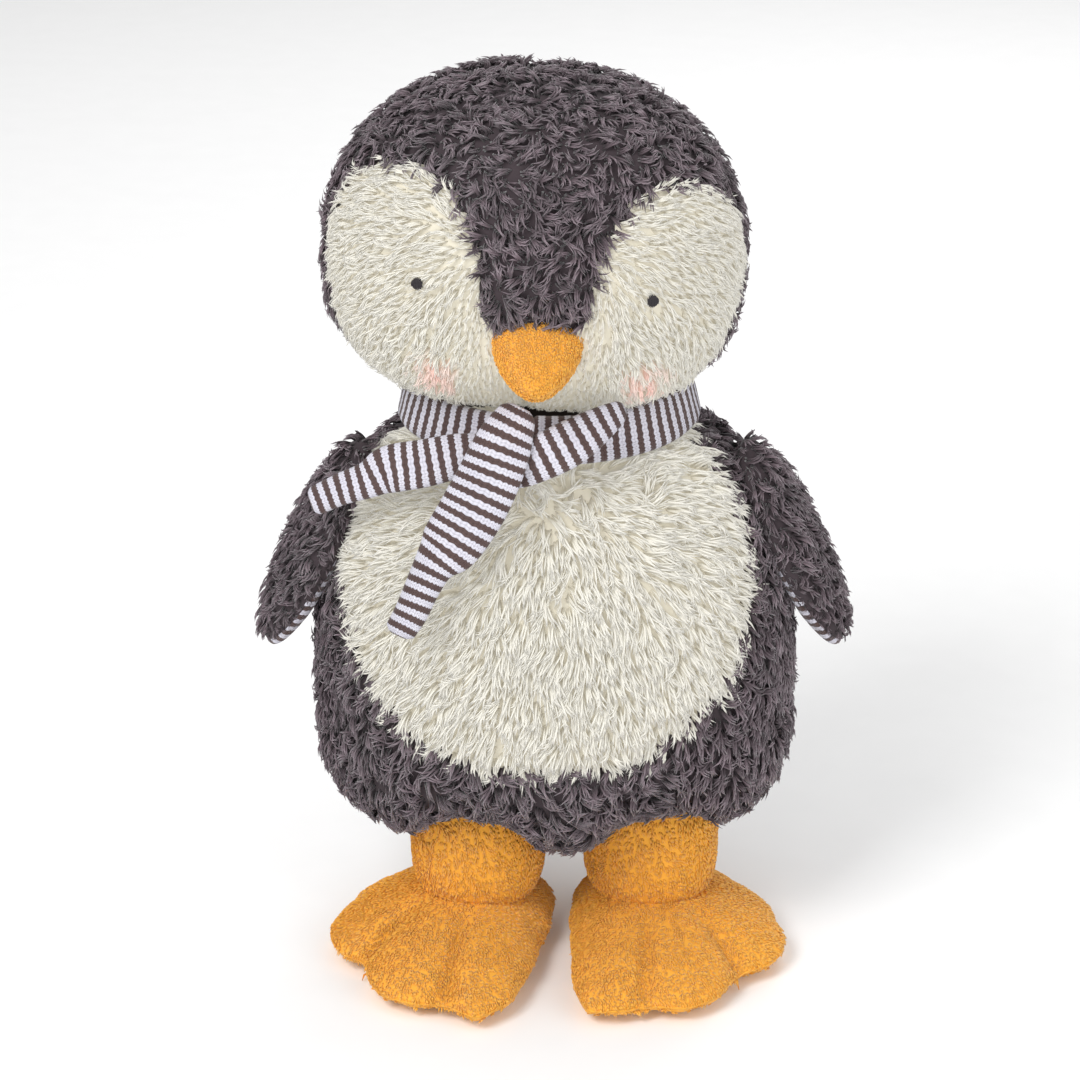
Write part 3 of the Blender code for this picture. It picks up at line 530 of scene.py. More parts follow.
def cut_from(obj, panels):
    """Marks each face with the panel that lies nearest to it, by its material slot's number."""
    trees = [surface_of(name) for name in panels]
    for face in obj.data.polygons:
        gaps = [tree.find_nearest(face.center)[3] for tree in trees]
        face.material_index = int(np.argmin(gaps))


def seam_edges(obj):
    """The edges between two different panels, as pairs of vertex numbers."""
    owners = {}
    for face in obj.data.polygons:
        for edge in face.edge_keys:
            owners.setdefault(edge, set()).add(face.material_index)
    return np.array([edge for edge, found in owners.items() if len(found) > 1], int).reshape(-1, 2)


def ease_seams(obj, rounds=8):
    """Smooths the stepped line between two panels, and leaves the rest of the cloth."""
    seams = seam_edges(obj)
    points = points_of(obj)
    for _ in range(rounds):
        total, count = np.zeros_like(points), np.zeros(len(points))
        for first, second in ((0, 1), (1, 0)):
            np.add.at(total, seams[:, first], points[seams[:, second]])
            np.add.at(count, seams[:, first], 1)
        held = count > 1
        points[held] = 0.5 * points[held] + 0.5 * total[held] / count[held][:, None]
    set_points(obj, points)
    return np.unique(seams)


def puff(obj, pinned, cap, pressure=60.0):
    """Cloth simulation: pressure swells the form, pinned points stay, no point moves past the cap."""
    before = points_of(obj)
    held = obj.vertex_groups.new(name="seams")
    held.add([int(index) for index in pinned], 1.0, "REPLACE")
    cloth = obj.modifiers.new("stuffing", "CLOTH")
    cloth.settings.quality = 4
    cloth.settings.mass = 0.05
    cloth.settings.tension_stiffness = cloth.settings.compression_stiffness = 4
    cloth.settings.shear_stiffness = 2
    cloth.settings.bending_stiffness = 0.05
    cloth.settings.use_pressure = True
    cloth.settings.uniform_pressure_force = pressure
    cloth.settings.effector_weights.gravity = 0
    cloth.settings.vertex_group_mass = "seams"
    cloth.point_cache.frame_start, cloth.point_cache.frame_end = 1, 20
    scene = bpy.context.scene
    for step in range(1, 21):
        scene.frame_set(step)
        bpy.context.view_layer.update()
    graph = bpy.context.evaluated_depsgraph_get()
    after = np.array([vert.co for vert in obj.evaluated_get(graph).data.vertices])
    obj.modifiers.clear()
    obj.vertex_groups.clear()
    scene.frame_set(1)
    moved = after - before
    length = np.linalg.norm(moved, axis=1)
    moved *= np.minimum(1.0, cap / np.maximum(length, 1e-9))[:, None]
    set_points(obj, before + moved)
    print(obj.name, "swelled by up to", round(float(np.linalg.norm(moved, axis=1).max()) / MM, 1), "mm")


def rounded(obj, levels=1):
    """One subdivision of the cloth."""
    modifier = obj.modifiers.new("round", "SUBSURF")
    modifier.levels = modifier.render_levels = levels
    return settled(obj)


def pull_seams(obj, depth, width):
    """Draws the cloth in along its seams, as the stitching does."""
    points, normals = points_of(obj), normals_of(obj)
    line = np.unique(seam_edges(obj))
    tree = KDTree(len(line))
    for index in line:
        tree.insert(points[index], int(index))
    tree.balance()
    away = np.array([tree.find(point)[2] for point in points])
    set_points(obj, points - normals * (depth * np.exp(-(away / width) ** 2))[:, None])


def cloth_panel(name, points, normals, faces, thickness):
    """Part of a form as a cloth of its own: an outer side, an inner side and a closed edge."""
    used, faces = np.unique(faces, return_inverse=True)
    faces = faces.reshape(-1, 4)
    count = len(used)
    outer, normals = points[used], normals[used]
    edges = np.concatenate([faces[:, [i, (i + 1) % 4]] for i in range(4)])
    known = {tuple(edge) for edge in edges}
    rim = [(a, b) for a, b in known if (b, a) not in known]
    inner_faces = faces[:, ::-1] + count
    rim_faces = [(b, a, a + count, b + count) for a, b in sorted(rim)]
    both = np.concatenate([outer, outer - normals * thickness])
    obj = new_object(name, both, list(faces) + list(inner_faces) + rim_faces)
    write(obj, "outer", "BOOLEAN", np.arange(len(obj.data.polygons)) < len(faces), "FACE")
    return obj, np.concatenate([normals, normals])


def write(obj, name, kind, values, domain="POINT"):
    layer = obj.data.attributes.new(name, kind, domain)
    layer.data.foreach_set("vector" if kind == "FLOAT_VECTOR" else "value", np.asarray(values).ravel())


def comb(obj, directions, lengths=1.0, blush=0.0):
    """Writes which way the pile lies, how long it is and how rosy, on every point of a cloth."""
    count = len(obj.data.vertices)
    write(obj, "comb", "FLOAT_VECTOR", np.broadcast_to(directions, (count, 3)).astype(np.float32))
    write(obj, "pile", "FLOAT", np.broadcast_to(lengths, (count,)).astype(np.float32))
    write(obj, "blush", "FLOAT", np.broadcast_to(blush, (count,)).astype(np.float32))


def split(obj, panels, thickness):
    """Each panel of a form as its own cloth; returns name: (object, points, normals)."""
    points, normals = points_of(obj), normals_of(obj)
    faces = np.array([face.vertices[:] for face in obj.data.polygons])
    owners = np.array([face.material_index for face in obj.data.polygons])
    found = {}
    for index, name in enumerate(panels):
        cloth, turned = cloth_panel(name + "_plush", points, normals, faces[owners == index], thickness)
        found[name] = (cloth, points_of(cloth), turned)
    bpy.data.objects.remove(obj, do_unlink=True)
    return found


def without(obj, balls):
    """Opens the form where a ball joint passes through it."""
    bm = bmesh.new()
    bm.from_mesh(obj.data)
    inside = [f for f in bm.faces if any((f.calc_center_median() - at).length < reach for at, reach in balls)]
    bmesh.ops.delete(bm, geom=inside, context="FACES")
    bm.to_mesh(obj.data)
    bm.free()
    return obj


def finish_piece(obj, body, stands_for):
    """The calls that every piece needs at the end."""
    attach(obj, body)
    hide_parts(*stands_for)
    return obj


# %% [markdown]
# ## The body
# Four panels: a cream belly set into a dark front border, and two dark backs with a seam between
# them. The belly's silky pile is brushed outwards and down from the chest, so that its points hang
# over the seam. The dark pile is curly and lies every way, mostly down.

# %% The body
BACKING = 1.2 * MM
BODY_PANELS = ("belly_panel", "body_front_border", "body_back_left", "body_back_right")
low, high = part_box("body_front_border")
BODY_CENTRE = np.array((0, AXIS_Y, 88 * MM))
BODY_SIZES = (high.x, AXIS_Y - low.y, 106 * MM, BODY_CENTRE[2] - low.z)
BODY_POWERS = (2.3, 3.0, 3.4)

def lift_over_legs(obj):
    """The front of the body is gathered up where a leg is sewn in under it."""
    points = points_of(obj)
    low_down = np.clip((82 * MM - points[:, 2]) / (32 * MM), 0, 1)
    ahead = np.clip((AXIS_Y - points[:, 1]) / (25 * MM), 0, 1)
    for side in ("left", "right"):
        aside = (points[:, 0] - joint_at[side + "_hip_swing"].x) / (19 * MM)
        gather = low_down * ahead * np.exp(-aside ** 4)
        points += gather[:, None] * (0, 3 * MM, 9 * MM)
    set_points(obj, points)


directions, faces = cube_grid(25)
body_form = new_object(
    "body_form", BODY_CENTRE + directions * block_reach(directions, BODY_SIZES, BODY_POWERS)[:, None], faces)
cut_from(body_form, BODY_PANELS)
puff(body_form, ease_seams(body_form), 2.0 * MM)
rounded(body_form)
pull_seams(body_form, 1.2 * MM, 4 * MM)
lift_over_legs(body_form)
hips = [(joint_at[side + "_hip_swing"], 20 * MM) for side in ("left", "right")]
without(body_form, hips)
body_cloths = split(body_form, BODY_PANELS, BACKING)


def brushed_from(points, source, out, drop):
    """Directions that lead away from a point of the front, and down."""
    away = points - np.asarray(source)
    away[:, 1] *= 0.3
    away /= np.linalg.norm(away, axis=1)[:, None] + 1e-6
    return away * out + np.array((0, 0, -drop))


CHEST = (-3 * MM, AXIS_Y - 40 * MM, 205 * MM)
BELLY_MIDDLE = np.array((0, AXIS_Y - 58 * MM, 122 * MM))
LEG_CLEAR = (21 * MM, 15 * MM)      # round a leg the pile is shorter: from where, and over what width
PRESSED = 0.35                 # how long the pile is where the head and the body press together
for name, (cloth, points, normals) in body_cloths.items():
    under_head = np.clip((points[:, 2] - 184 * MM) / (8 * MM), 0, 1) * (1 - PRESSED)
    if name == "belly_panel":
        edge = np.clip((points[:, 2] - 84 * MM) / (30 * MM), 0, 1)
        spread = brushed_from(points, BELLY_MIDDLE, 1.0, 0.0)
        away = np.linalg.norm((points - BELLY_MIDDLE)[:, [0, 2]], axis=1) / (70 * MM)
        comb(cloth, brushed_from(points, CHEST, 0.45, 0.55) + spread * np.clip(away, 0, 1)[:, None] ** 2,
             (0.9 + 0.1 * edge) * (1 - under_head))
        lay_pile(cloth, locks=silky_locks, spacing=2.1 * MM, length=9.5 * MM, swirl=0.55, swirl_size=10 * MM,
                 ruffle=0.14, seed=21, finish=cream_finish)
        finish_piece(cloth, "root", [name])
    else:
        shoulder = np.clip((points[:, 2] - 165 * MM) / (25 * MM), 0, 1)
        to_leg = np.min([np.hypot(points[:, 0] - hip.x, points[:, 1] - hip.y) for hip, _ in hips], axis=0)
        low_down = np.clip((75 * MM - points[:, 2]) / (15 * MM), 0, 1)
        near_leg = low_down * np.clip(1 - (to_leg - LEG_CLEAR[0]) / LEG_CLEAR[1], 0, 1)
        comb(cloth, (0, 0, -0.55), (1.0 - 0.25 * shoulder) * (1 - 0.6 * near_leg) * (1 - under_head))
        is_back = "back" in name
        lay_pile(cloth, locks=curly_locks, spacing=(2.7 if is_back else 2.3) * MM,
                 length=(8.4 if is_back else 7.6) * MM, swirl=0.8, swirl_size=8 * MM,
                 ruffle=0.24, seed=22, finish=dark_finish)
        inside = ["body_stuffing"] if name == "body_front_border" else []
        finish_piece(cloth, "root", [name] + inside)

# %% [markdown]
# ## The head
# The head leans a little to one side. Two cream face panels meet under the beak, and the dark crown
# comes down between them in a blaze. The pile on the cheeks is brushed outwards from the eyes.

# %% The head
HEAD_PANELS = ("head_crown", "face_left", "face_right", "head_back_left", "head_back_right")
HEAD_CENTRE = np.array((-6.5 * MM, AXIS_Y, 249 * MM))
HEAD_SIZES = (68 * MM, 54 * MM, 57.5 * MM, 51 * MM)
HEAD_POWERS = (2.2, 2.1, 2.7)
HEAD_LEAN_DEG = 4.5
HEAD_LEAN = np.array(Matrix.Rotation(math.radians(HEAD_LEAN_DEG), 3, "Y"))


def on_head(points):
    """From the head's own upright axes to the toy's."""
    return np.atleast_2d(points) @ HEAD_LEAN.T + HEAD_CENTRE


def from_head(points):
    return (points - HEAD_CENTRE) @ HEAD_LEAN


directions, faces = cube_grid(23)
head_form = new_object(
    "head_form", on_head(directions * block_reach(directions, HEAD_SIZES, HEAD_POWERS)[:, None]), faces)
cut_from(head_form, HEAD_PANELS)
puff(head_form, ease_seams(head_form), 2.0 * MM)
rounded(head_form)
pull_seams(head_form, 1.0 * MM, 4 * MM)
head_cloths = split(head_form, HEAD_PANELS, BACKING)
eye_at = {side: np.array(sum(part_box("eye_" + side), Vector())) / 2 for side in ("left", "right")}
BLUSH_AT = {"left": (37 * MM, -31 * MM), "right": (-30 * MM, -32 * MM)}
BLUSH_REACH = 9 * MM


def face_pile(points, side):
    """Shorter round the eye and beside the beak, with a rosy cheek."""
    own = from_head(points)
    to_eye = np.linalg.norm(points - eye_at[side], axis=1)
    length = np.clip(0.4 + (to_eye - 2.0 * MM) / (6 * MM), 0.4, 1.0)
    length *= np.clip(0.55 + (np.abs(own[:, 0]) - 14 * MM) / (30 * MM), 0.55, 1.0)
    x, z = BLUSH_AT[side]
    rosy = np.exp(-(((own[:, 0] - x) ** 2 + (own[:, 2] - z) ** 2) / BLUSH_REACH ** 2))
    return length, 0.62 * rosy


for name, (cloth, points, normals) in head_cloths.items():
    on_neck = np.clip((-42 * MM - from_head(points)[:, 2]) / (7 * MM), 0, 1) * (1 - PRESSED)
    if name.startswith("face"):
        side = name.split("_")[1]
        sign = 1 if side == "left" else -1
        length, rosy = face_pile(points, side)
        nose = on_head((sign * 14 * MM, -50 * MM, 12 * MM))[0]
        comb(cloth, brushed_from(points, nose, 1.0, 0.35), length * (1 - on_neck), rosy)
        lay_pile(cloth, locks=silky_locks, spacing=1.75 * MM, length=6.6 * MM, swirl=0.4, swirl_size=8 * MM,
                 ruffle=0.12, seed=23 + sign, finish=cream_finish)
        finish_piece(cloth, "head", [name])
    else:
        comb(cloth, (0, 0, -0.4), 1.0 - on_neck)
        is_back = "back" in name
        lay_pile(cloth, locks=curly_locks, spacing=(2.5 if is_back else 1.95) * MM,
                 length=6.4 * MM, swirl=0.8, swirl_size=7 * MM, ruffle=0.24, seed=26, finish=dark_finish)
        finish_piece(cloth, "head", [name])

# %% [markdown]
# ## The beak
# Two pieces of short orange plush, sewn round a small wad of filling: broad at the root, where the
# dark blaze meets it, and rounded at the drooping tip. The short pile is brushed towards the tip.

# %% The beak
BEAK_ROOT = (2 * MM, -42 * MM, -13 * MM)
BEAK_SIZE = (16.0 * MM, 33 * MM, 9.0 * MM)          # half width, length, half thickness
BEAK_PANELS = ("beak_top", "beak_underside")
BEAK_DROOP_DEG = 28
HEAD_PLACE = Matrix.Translation(HEAD_CENTRE) @ Matrix.Rotation(math.radians(HEAD_LEAN_DEG), 4, "Y")
BEAK_PLACE = (
    HEAD_PLACE @ Matrix.Translation(BEAK_ROOT)
    @ Matrix.Rotation(math.radians(BEAK_DROOP_DEG), 4, "X")
)


def placed(points, matrix):
    matrix = np.array(matrix)
    return np.asarray(points) @ matrix[:3, :3].T + matrix[:3, 3]


def beak_points(directions):
    """A rounded triangle seen from above, thickest a third of the way out."""
    along = (1 - directions[:, 1]) / 2
    ring = np.maximum(np.hypot(directions[:, 0], directions[:, 2]), 1e-9)
    reach = np.minimum(1, (along * 5) ** 0.5) * (1 - along ** 2.3) ** 0.62
    wide = reach * (1 - 0.12 * along)
    return np.stack([
        directions[:, 0] / ring * wide * BEAK_SIZE[0],
        -along * BEAK_SIZE[1],
        directions[:, 2] / ring * reach * BEAK_SIZE[2],
    ], 1)


directions, faces = cube_grid(11)
beak_form = new_object("beak_form", placed(beak_points(directions), BEAK_PLACE), faces)
for face in beak_form.data.polygons:
    face.material_index = int(np.mean(directions[list(face.vertices), 2]) < 0)
puff(beak_form, np.unique(seam_edges(beak_form)), 0.8 * MM)
rounded(beak_form)
pull_seams(beak_form, 0.7 * MM, 1.6 * MM)
for name, (cloth, points, normals) in split(beak_form, BEAK_PANELS, 0.8 * MM).items():
    tipward = np.array(BEAK_PLACE)[:3, :3] @ (0, -1, 0)
    comb(cloth, tipward * 0.8, 1.0)
    lay_pile(cloth, locks=velour_locks, spacing=0.85 * MM, length=1.7 * MM, swirl=0.2, swirl_size=6 * MM,
             ruffle=0.1, seed=31, finish=orange_finish)
    inside = ["beak_stuffing"] if name == "beak_top" else []
    finish_piece(cloth, "head", [name] + inside)

# %% [markdown]
# ## The legs and the feet
# A leg is a plump stub that turns in the body above and sits on the foot below. A foot is a flat
# cushion with three toes: the outline is scalloped, the upper swells from the seam that joins it to
# the sole, and two lines of stitching pull soft grooves between the toes.

# %% The feet
SEAM_Z = 6.0 * MM
SOLE_CLEAR = 1.0 * MM          # the sole's cloth above the ground, where its pile is pressed
FOOT_TOP = 21.5 * MM
TOE_DROP = 8.0 * MM
TOE_GROOVES = {"left": (3, 36), "right": (3, 36)}
FOOT_SPLAY = {"left": -6, "right": 6}


def outline_of(node, centre):
    """How far a flat piece reaches from a centre, by angle from straight ahead."""
    points = np.array([vert.co for vert in nodes[node].data.vertices]) - np.array(centre)
    angles = np.arctan2(points[:, 0], -points[:, 1])
    reach = np.hypot(points[:, 0], points[:, 1])
    order = np.argsort(angles)
    return lambda asked: np.interp(asked, angles[order], reach[order], period=2 * math.pi)


def foot_points(directions, centre, reach, toe_lines):
    angles = np.arctan2(directions[:, 0], -directions[:, 1])
    flat = np.hypot(directions[:, 0], directions[:, 1])
    share = np.minimum(flat, 1) ** 0.85
    notch = sum(np.exp(-((angles - at) / math.radians(6)) ** 2) for at in toe_lines)
    out = (reach(angles) - 1.0 * MM - 2.2 * MM * notch) * share
    crown = (FOOT_TOP - TOE_DROP * share ** 1.3 - SEAM_Z) * np.sqrt(np.maximum(1 - share ** 3.6, 0))
    under = (SEAM_Z - SOLE_CLEAR) * (1 - np.sqrt(np.maximum(1 - share ** 9, 0)))
    z = np.where(directions[:, 2] > 1e-6, SEAM_Z + crown, SOLE_CLEAR + under)
    z = np.where(np.abs(directions[:, 2]) <= 1e-6, SEAM_Z, z)
    return np.stack([centre.x + out * np.sin(angles), centre.y - out * np.cos(angles), z], 1)


TOE_GROOVE_DEPTH = 3.4 * MM


def groove_depth(points, centre, side):
    """How far the toe stitching pulls the upper down, at each point."""
    sign = 1 if side == "left" else -1
    x, y = (points[:, 0] - centre.x) * sign, centre.y - points[:, 1]
    depth = np.zeros(len(points))
    for angle in TOE_GROOVES[side]:
        turn = math.radians(angle + FOOT_SPLAY[side])
        ahead = x * math.sin(turn) + y * math.cos(turn)
        aside = x * math.cos(turn) - y * math.sin(turn)
        rise = np.clip((ahead - 26 * MM) / (16 * MM), 0, 1)
        depth = np.maximum(depth, rise * np.exp(-(aside / (3.0 * MM)) ** 2))
    return depth * np.clip((points[:, 2] - SEAM_Z) / (4 * MM), 0, 1)


def build_foot(side):
    centre = joint_at[side + "_foot_tilt"]
    directions, faces = cube_grid(31)
    reach = outline_of(side + "_foot_sole", centre)
    sign = 1 if side == "left" else -1
    toe_lines = [sign * math.radians(angle + FOOT_SPLAY[side]) for angle in TOE_GROOVES[side]]
    form = new_object(side + "_foot_form", foot_points(directions, centre, reach, toe_lines), faces)
    for face in form.data.polygons:
        face.material_index = int(np.mean(directions[list(face.vertices), 2]) < 0)
    puff(form, np.unique(seam_edges(form)), 1.6 * MM)
    rounded(form)
    points = points_of(form)
    points[:, 2] = np.maximum(points[:, 2], SOLE_CLEAR)
    points[:, 2] -= TOE_GROOVE_DEPTH * groove_depth(points, centre, side)
    set_points(form, points)
    pull_seams(form, 1.3 * MM, 1.4 * MM)
    panels = (side + "_foot_upper", side + "_foot_sole")
    for name, (cloth, points, normals) in split(form, panels, 0.9 * MM).items():
        ahead = points - np.array((centre.x, centre.y, 0))
        ahead /= np.linalg.norm(ahead, axis=1)[:, None]
        pressed = np.clip((points[:, 2] - 1.4 * MM) / (2.5 * MM), 0.0, 1.0)
        comb(cloth, ahead * (0.8, 0.8, 0) + (0, 0, -0.5), 0.15 + 0.85 * pressed)
        is_sole = name.endswith("sole")
        lay_pile(cloth, locks=velour_locks, spacing=(3.2 if is_sole else 1.2) * MM,
                 length=2.0 * MM, swirl=0.4, swirl_size=12 * MM, ruffle=0.1, seed=33, finish=orange_finish)
        stands_for = [name] + ([side + "_foot_stuffing"] if name.endswith("upper") else [])
        finish_piece(cloth, side + "_foot", stands_for)


def build_leg(side):
    hip = joint_at[side + "_hip_swing"]
    directions, faces = cube_grid(15)
    sizes = (23 * MM, 23 * MM, 26 * MM, 25 * MM)
    centre = np.array((hip.x, hip.y - 5 * MM, 38 * MM))
    points = centre + directions * block_reach(directions, sizes, (2.2, 2.6, 3.4))[:, None]
    form = new_object(side + "_leg_plush", points, faces)
    puff(form, [int(np.argmax(points[:, 2]))], 1.5 * MM)
    rounded(form)
    write(form, "outer", "BOOLEAN", np.ones(len(form.data.polygons), bool), "FACE")
    comb(form, (0, 0, -0.6), 1.0)
    lay_pile(form, locks=velour_locks, spacing=1.5 * MM, length=2.3 * MM, swirl=0.4, swirl_size=12 * MM,
             ruffle=0.1, seed=35, finish=orange_finish)
    finish_piece(form, side + "_leg", [side + "_leg_cover", side + "_leg_stuffing"])


for side in ("left", "right"):
    build_leg(side)
    build_foot(side)

# %% [markdown]
# ## Knitted jersey
# The jersey is knitted in stripes of two courses each. Every stitch is a V, so where the colour
# changes the edge runs zig-zag. The finish works in metres on the cloth's own map: across the wales
# and along the courses, the same on the scarf and on the wing linings, however the cloth lies.

# %% The jersey finish and its maps
KNIT_MAP = "Knit"
WALE = 1.15 * MM
COURSE = 1.07 * MM
COURSES_A_STRIPE = 2


def jersey_finish():
    material, graph, shader = new_finish("striped_jersey", 0.85, 0.2)
    place = graph.node("ShaderNodeUVMap", {"uv_map": KNIT_MAP})
    across = graph.node("ShaderNodeSeparateXYZ", {}, {0: place})
    along = across.also("Y")
    column = graph.maths("FRACT", across / WALE)
    slant = graph.maths("ABSOLUTE", column - 0.5) * 2
    row = along / COURSE + slant * 0.38
    band = graph.maths("FRACT", row / (2 * COURSES_A_STRIPE))
    pale = graph.clamp((graph.maths("ABSOLUTE", band - 0.5) - 0.235) * 40)
    wear = graph.noise(place, 0.004, 3.0)
    light = graph.mix(wear, (0.50, 0.485, 0.57, 1), (0.66, 0.65, 0.71, 1))
    dark = graph.mix(wear, (0.065, 0.040, 0.038, 1), (0.11, 0.072, 0.068, 1))
    colour = graph.mix(pale, dark, light)
    loop = graph.maths("SINE", graph.maths("FRACT", row) * math.pi)
    leg = graph.maths("SINE", graph.maths("FRACT", column * 2) * math.pi)
    height = loop * 0.5 + leg * 0.5
    # Painted shade: each stitch is darker in the hollows between its loops and lighter on their raised tops.
    colour = graph.vectors("SCALE", colour, 0.72 + height * 0.36)
    bump = graph.node("ShaderNodeBump", {}, {"Strength": 0.8, "Distance": 0.35 * MM, "Height": height})
    graph.tree.links.new(colour.socket, shader.inputs["Base Color"])
    graph.tree.links.new(bump.socket, shader.inputs["Normal"])
    return material


jersey = jersey_finish()


def add_map(obj, name, corners):
    """A map given corner by corner."""
    layer = obj.data.uv_layers.new(name=name)
    layer.data.foreach_set("uv", np.asarray(corners, np.float32).ravel())


def smooth_line(points, count):
    """A smooth line through some points, with its ends kept."""
    points = np.asarray(points, float)
    ends = np.concatenate([[2 * points[0] - points[1]], points, [2 * points[-1] - points[-2]]])
    line = []
    for place in np.linspace(0, len(points) - 1, count):
        index = min(int(place), len(points) - 2)
        t = place - index
        a, b, c, d = ends[index:index + 4]
        line.append(0.5 * (2 * b + (c - a) * t + (2 * a - 5 * b + 4 * c - d) * t * t
                           + (3 * b - a - 3 * c + d) * t ** 3))
    return np.array(line)


def cloth_strip(name, route, facing, widths, thickness, ripple=0.35 * MM, around=36, step=0.75 * MM):
    """A strip of jersey, folded double and curled at its edges, along a route. Its broad side faces
    the way that is given at each point. Returns the strip, and its own width and length."""
    length = float(np.linalg.norm(np.diff(np.asarray(route), axis=0), axis=1).sum())
    rows = max(int(length / step), 8)
    line = smooth_line(route, rows)
    outward = smooth_line(facing, rows)
    width = smooth_line([[value] for value in widths], rows)[:, 0]
    thick = smooth_line([[value] for value in np.broadcast_to(thickness, len(widths))], rows)[:, 0]
    forward = np.gradient(line, axis=0)
    forward /= np.linalg.norm(forward, axis=1)[:, None]
    across = np.cross(forward, outward)
    across /= np.linalg.norm(across, axis=1)[:, None]
    outward = np.cross(across, forward)
    run = np.concatenate([[0], np.cumsum(np.linalg.norm(np.diff(line, axis=0), axis=1))])
    to_end = np.minimum(run, run[-1] - run)
    ending = np.clip((to_end + 0.2 * MM) / (2.2 * MM), 0, 1) ** 0.5
    angles = 2 * math.pi * np.arange(around) / around
    flat = np.sign(np.cos(angles)) * np.abs(np.cos(angles)) ** 0.8
    points = []
    for row in range(rows):
        curled = 0.55 + 0.6 * np.abs(flat) ** 4
        rise = np.sin(angles) * thick[row] / 2 * curled * ending[row]
        side = flat * width[row] / 2 * (0.35 + 0.65 * ending[row])
        wave = np.array([noise.noise((s * 160, run[row] * 90, width[0] * 900)) for s in side]) * ripple
        points.append(line[row] + across[row] * side[:, None] + outward[row] * (rise + wave)[:, None])
    points = np.concatenate(points + [line[:1], line[-1:]])
    faces, places = [], []
    for row in range(rows - 1):
        for column in range(around):
            corners = [(row, column), (row, column + 1), (row + 1, column + 1), (row + 1, column)]
            faces.append([r * around + c % around for r, c in corners])
            places += corners
    for column in range(around):
        first, last = (0, column), (rows - 1, column)
        faces.append([rows * around, first[0] * around + (column + 1) % around, column])
        places += [(0, column + 0.5), (0, column + 1), first]
        faces.append([rows * around + 1, last[0] * around + column, last[0] * around + (column + 1) % around])
        places += [(rows - 1, column + 0.5), last, (rows - 1, column + 1)]
    obj = new_object(name, points, faces)
    places = np.array(places, float)
    turned = places[:, 1] / around
    along = run[places[:, 0].astype(int)]
    cut = float(width.mean())
    add_map(obj, KNIT_MAP, np.stack([turned * 2 * cut, along], 1))
    add_map(obj, PILE_MAP, np.stack([0.01 + 0.98 * turned, 0.01 + 0.98 * along / run[-1]], 1))
    if signed_volume(obj) < 0:
        obj.data.flip_normals()
    obj.data.materials.append(jersey)
    obj.data.shade_smooth()
    return obj, cut, float(run[-1])


def signed_volume(obj):
    obj.data.calc_loop_triangles()
    points = points_of(obj)
    corners = np.array([triangle.vertices for triangle in obj.data.loop_triangles])
    a, b, c = points[corners[:, 0]], points[corners[:, 1]], points[corners[:, 2]]
    return float((a * np.cross(b, c)).sum() / 6)


# %% [markdown]
# ## The wings
# Each wing is a leaf: dark curly plush outside, jersey inside. The lining is cut a little larger, so
# its stripes roll round the edge and show from the front. The wing swings on its shoulder.

# %% The wings
WING_LENGTH = 82 * MM
WING_HALF_WIDTH = 17 * MM
WING_HALF_THICKNESS = 6.4 * MM
WING_OUT, WING_TWIST = 26, -14          # degrees, as in the working model


def wing_points(directions):
    along = (1 - directions[:, 2]) / 2
    x, y, z = np.abs(directions).T
    square = (x ** 2.2 + y ** 2.2 + z ** 2.6) ** (-1 / 2.4)
    full = 0.78 + 0.34 * np.sin(math.pi * along * 0.92) - 0.10 * along
    half = WING_LENGTH / 2
    return directions * square[:, None] * np.stack(
        [np.full(len(x), WING_HALF_THICKNESS), WING_HALF_WIDTH * full, np.full(len(x), half)], 1
    ) + (0, 0, 5.2 * MM - half)


def build_wing(side):
    sign = 1 if side == "left" else -1
    directions, faces = cube_grid(21)
    if sign < 0:
        faces = faces[:, ::-1]
    own = wing_points(directions)
    place = (
        Matrix.Translation(joint_at[side + "_wing_flap"])
        @ Matrix.Rotation(math.radians(-sign * WING_OUT), 4, "Y")
        @ Matrix.Rotation(math.radians(sign * WING_TWIST), 4, "Z") @ Matrix.Diagonal((sign, 1, 1, 1))
    )
    form = new_object(side + "_wing_form", placed(own, place), faces)
    down = -own[:, 2] / WING_LENGTH
    beyond = own[:, 0] < (-3.4 + 5.2 * np.clip((down - 0.35) / 0.5, 0, 1)) * MM
    for face in form.data.polygons:
        face.material_index = int(np.mean(beyond[list(face.vertices)]) > 0.5)
    puff(form, ease_seams(form, 4), 1.2 * MM)
    rounded(form)
    pull_seams(form, 0.6 * MM, 1.6 * MM)
    panels = (side + "_wing_outer", side + "_wing_lining")
    back_to_own = place.inverted()
    for name, (cloth, points, normals) in split(form, panels, 0.9 * MM).items():
        if name.endswith("outer"):
            own = placed(points, back_to_own)
            tipward = np.array(place)[:3, :3] @ (0, 0, -1)
            down = np.clip(-own[:, 2] / WING_LENGTH, 0, 1)
            edge = np.clip((own[:, 0] + (3.5 - 4 * down) * MM) / (4.5 * MM), 0.4, 1.0)
            comb(cloth, tipward * 0.7, edge)
            lay_pile(cloth, locks=curly_locks, spacing=2.0 * MM, length=6.4 * MM,
                     swirl=0.7, swirl_size=7 * MM, ruffle=0.22, seed=41, finish=dark_finish)
            finish_piece(cloth, side + "_wing", [name, side + "_wing_stuffing"])
        else:
            own = placed(points, back_to_own)
            corners = np.array([index for face in cloth.data.polygons for index in face.vertices])
            y, z = own[corners, 1], own[corners, 2]
            add_map(cloth, KNIT_MAP, np.stack([y, z], 1))
            add_map(cloth, PILE_MAP, np.stack([0.5 + y / (45 * MM), 0.97 + z / (90 * MM)], 1))
            cloth.data.materials.clear()
            cloth.data.materials.append(jersey)
            cloth.data.attributes.remove(cloth.data.attributes["outer"])
            cloth.data.shade_smooth()
            finish_piece(cloth, side + "_wing", [name])
            print(cloth.name, "has", triangles_of(cloth), "triangles")


for side in ("left", "right"):
    build_wing(side)
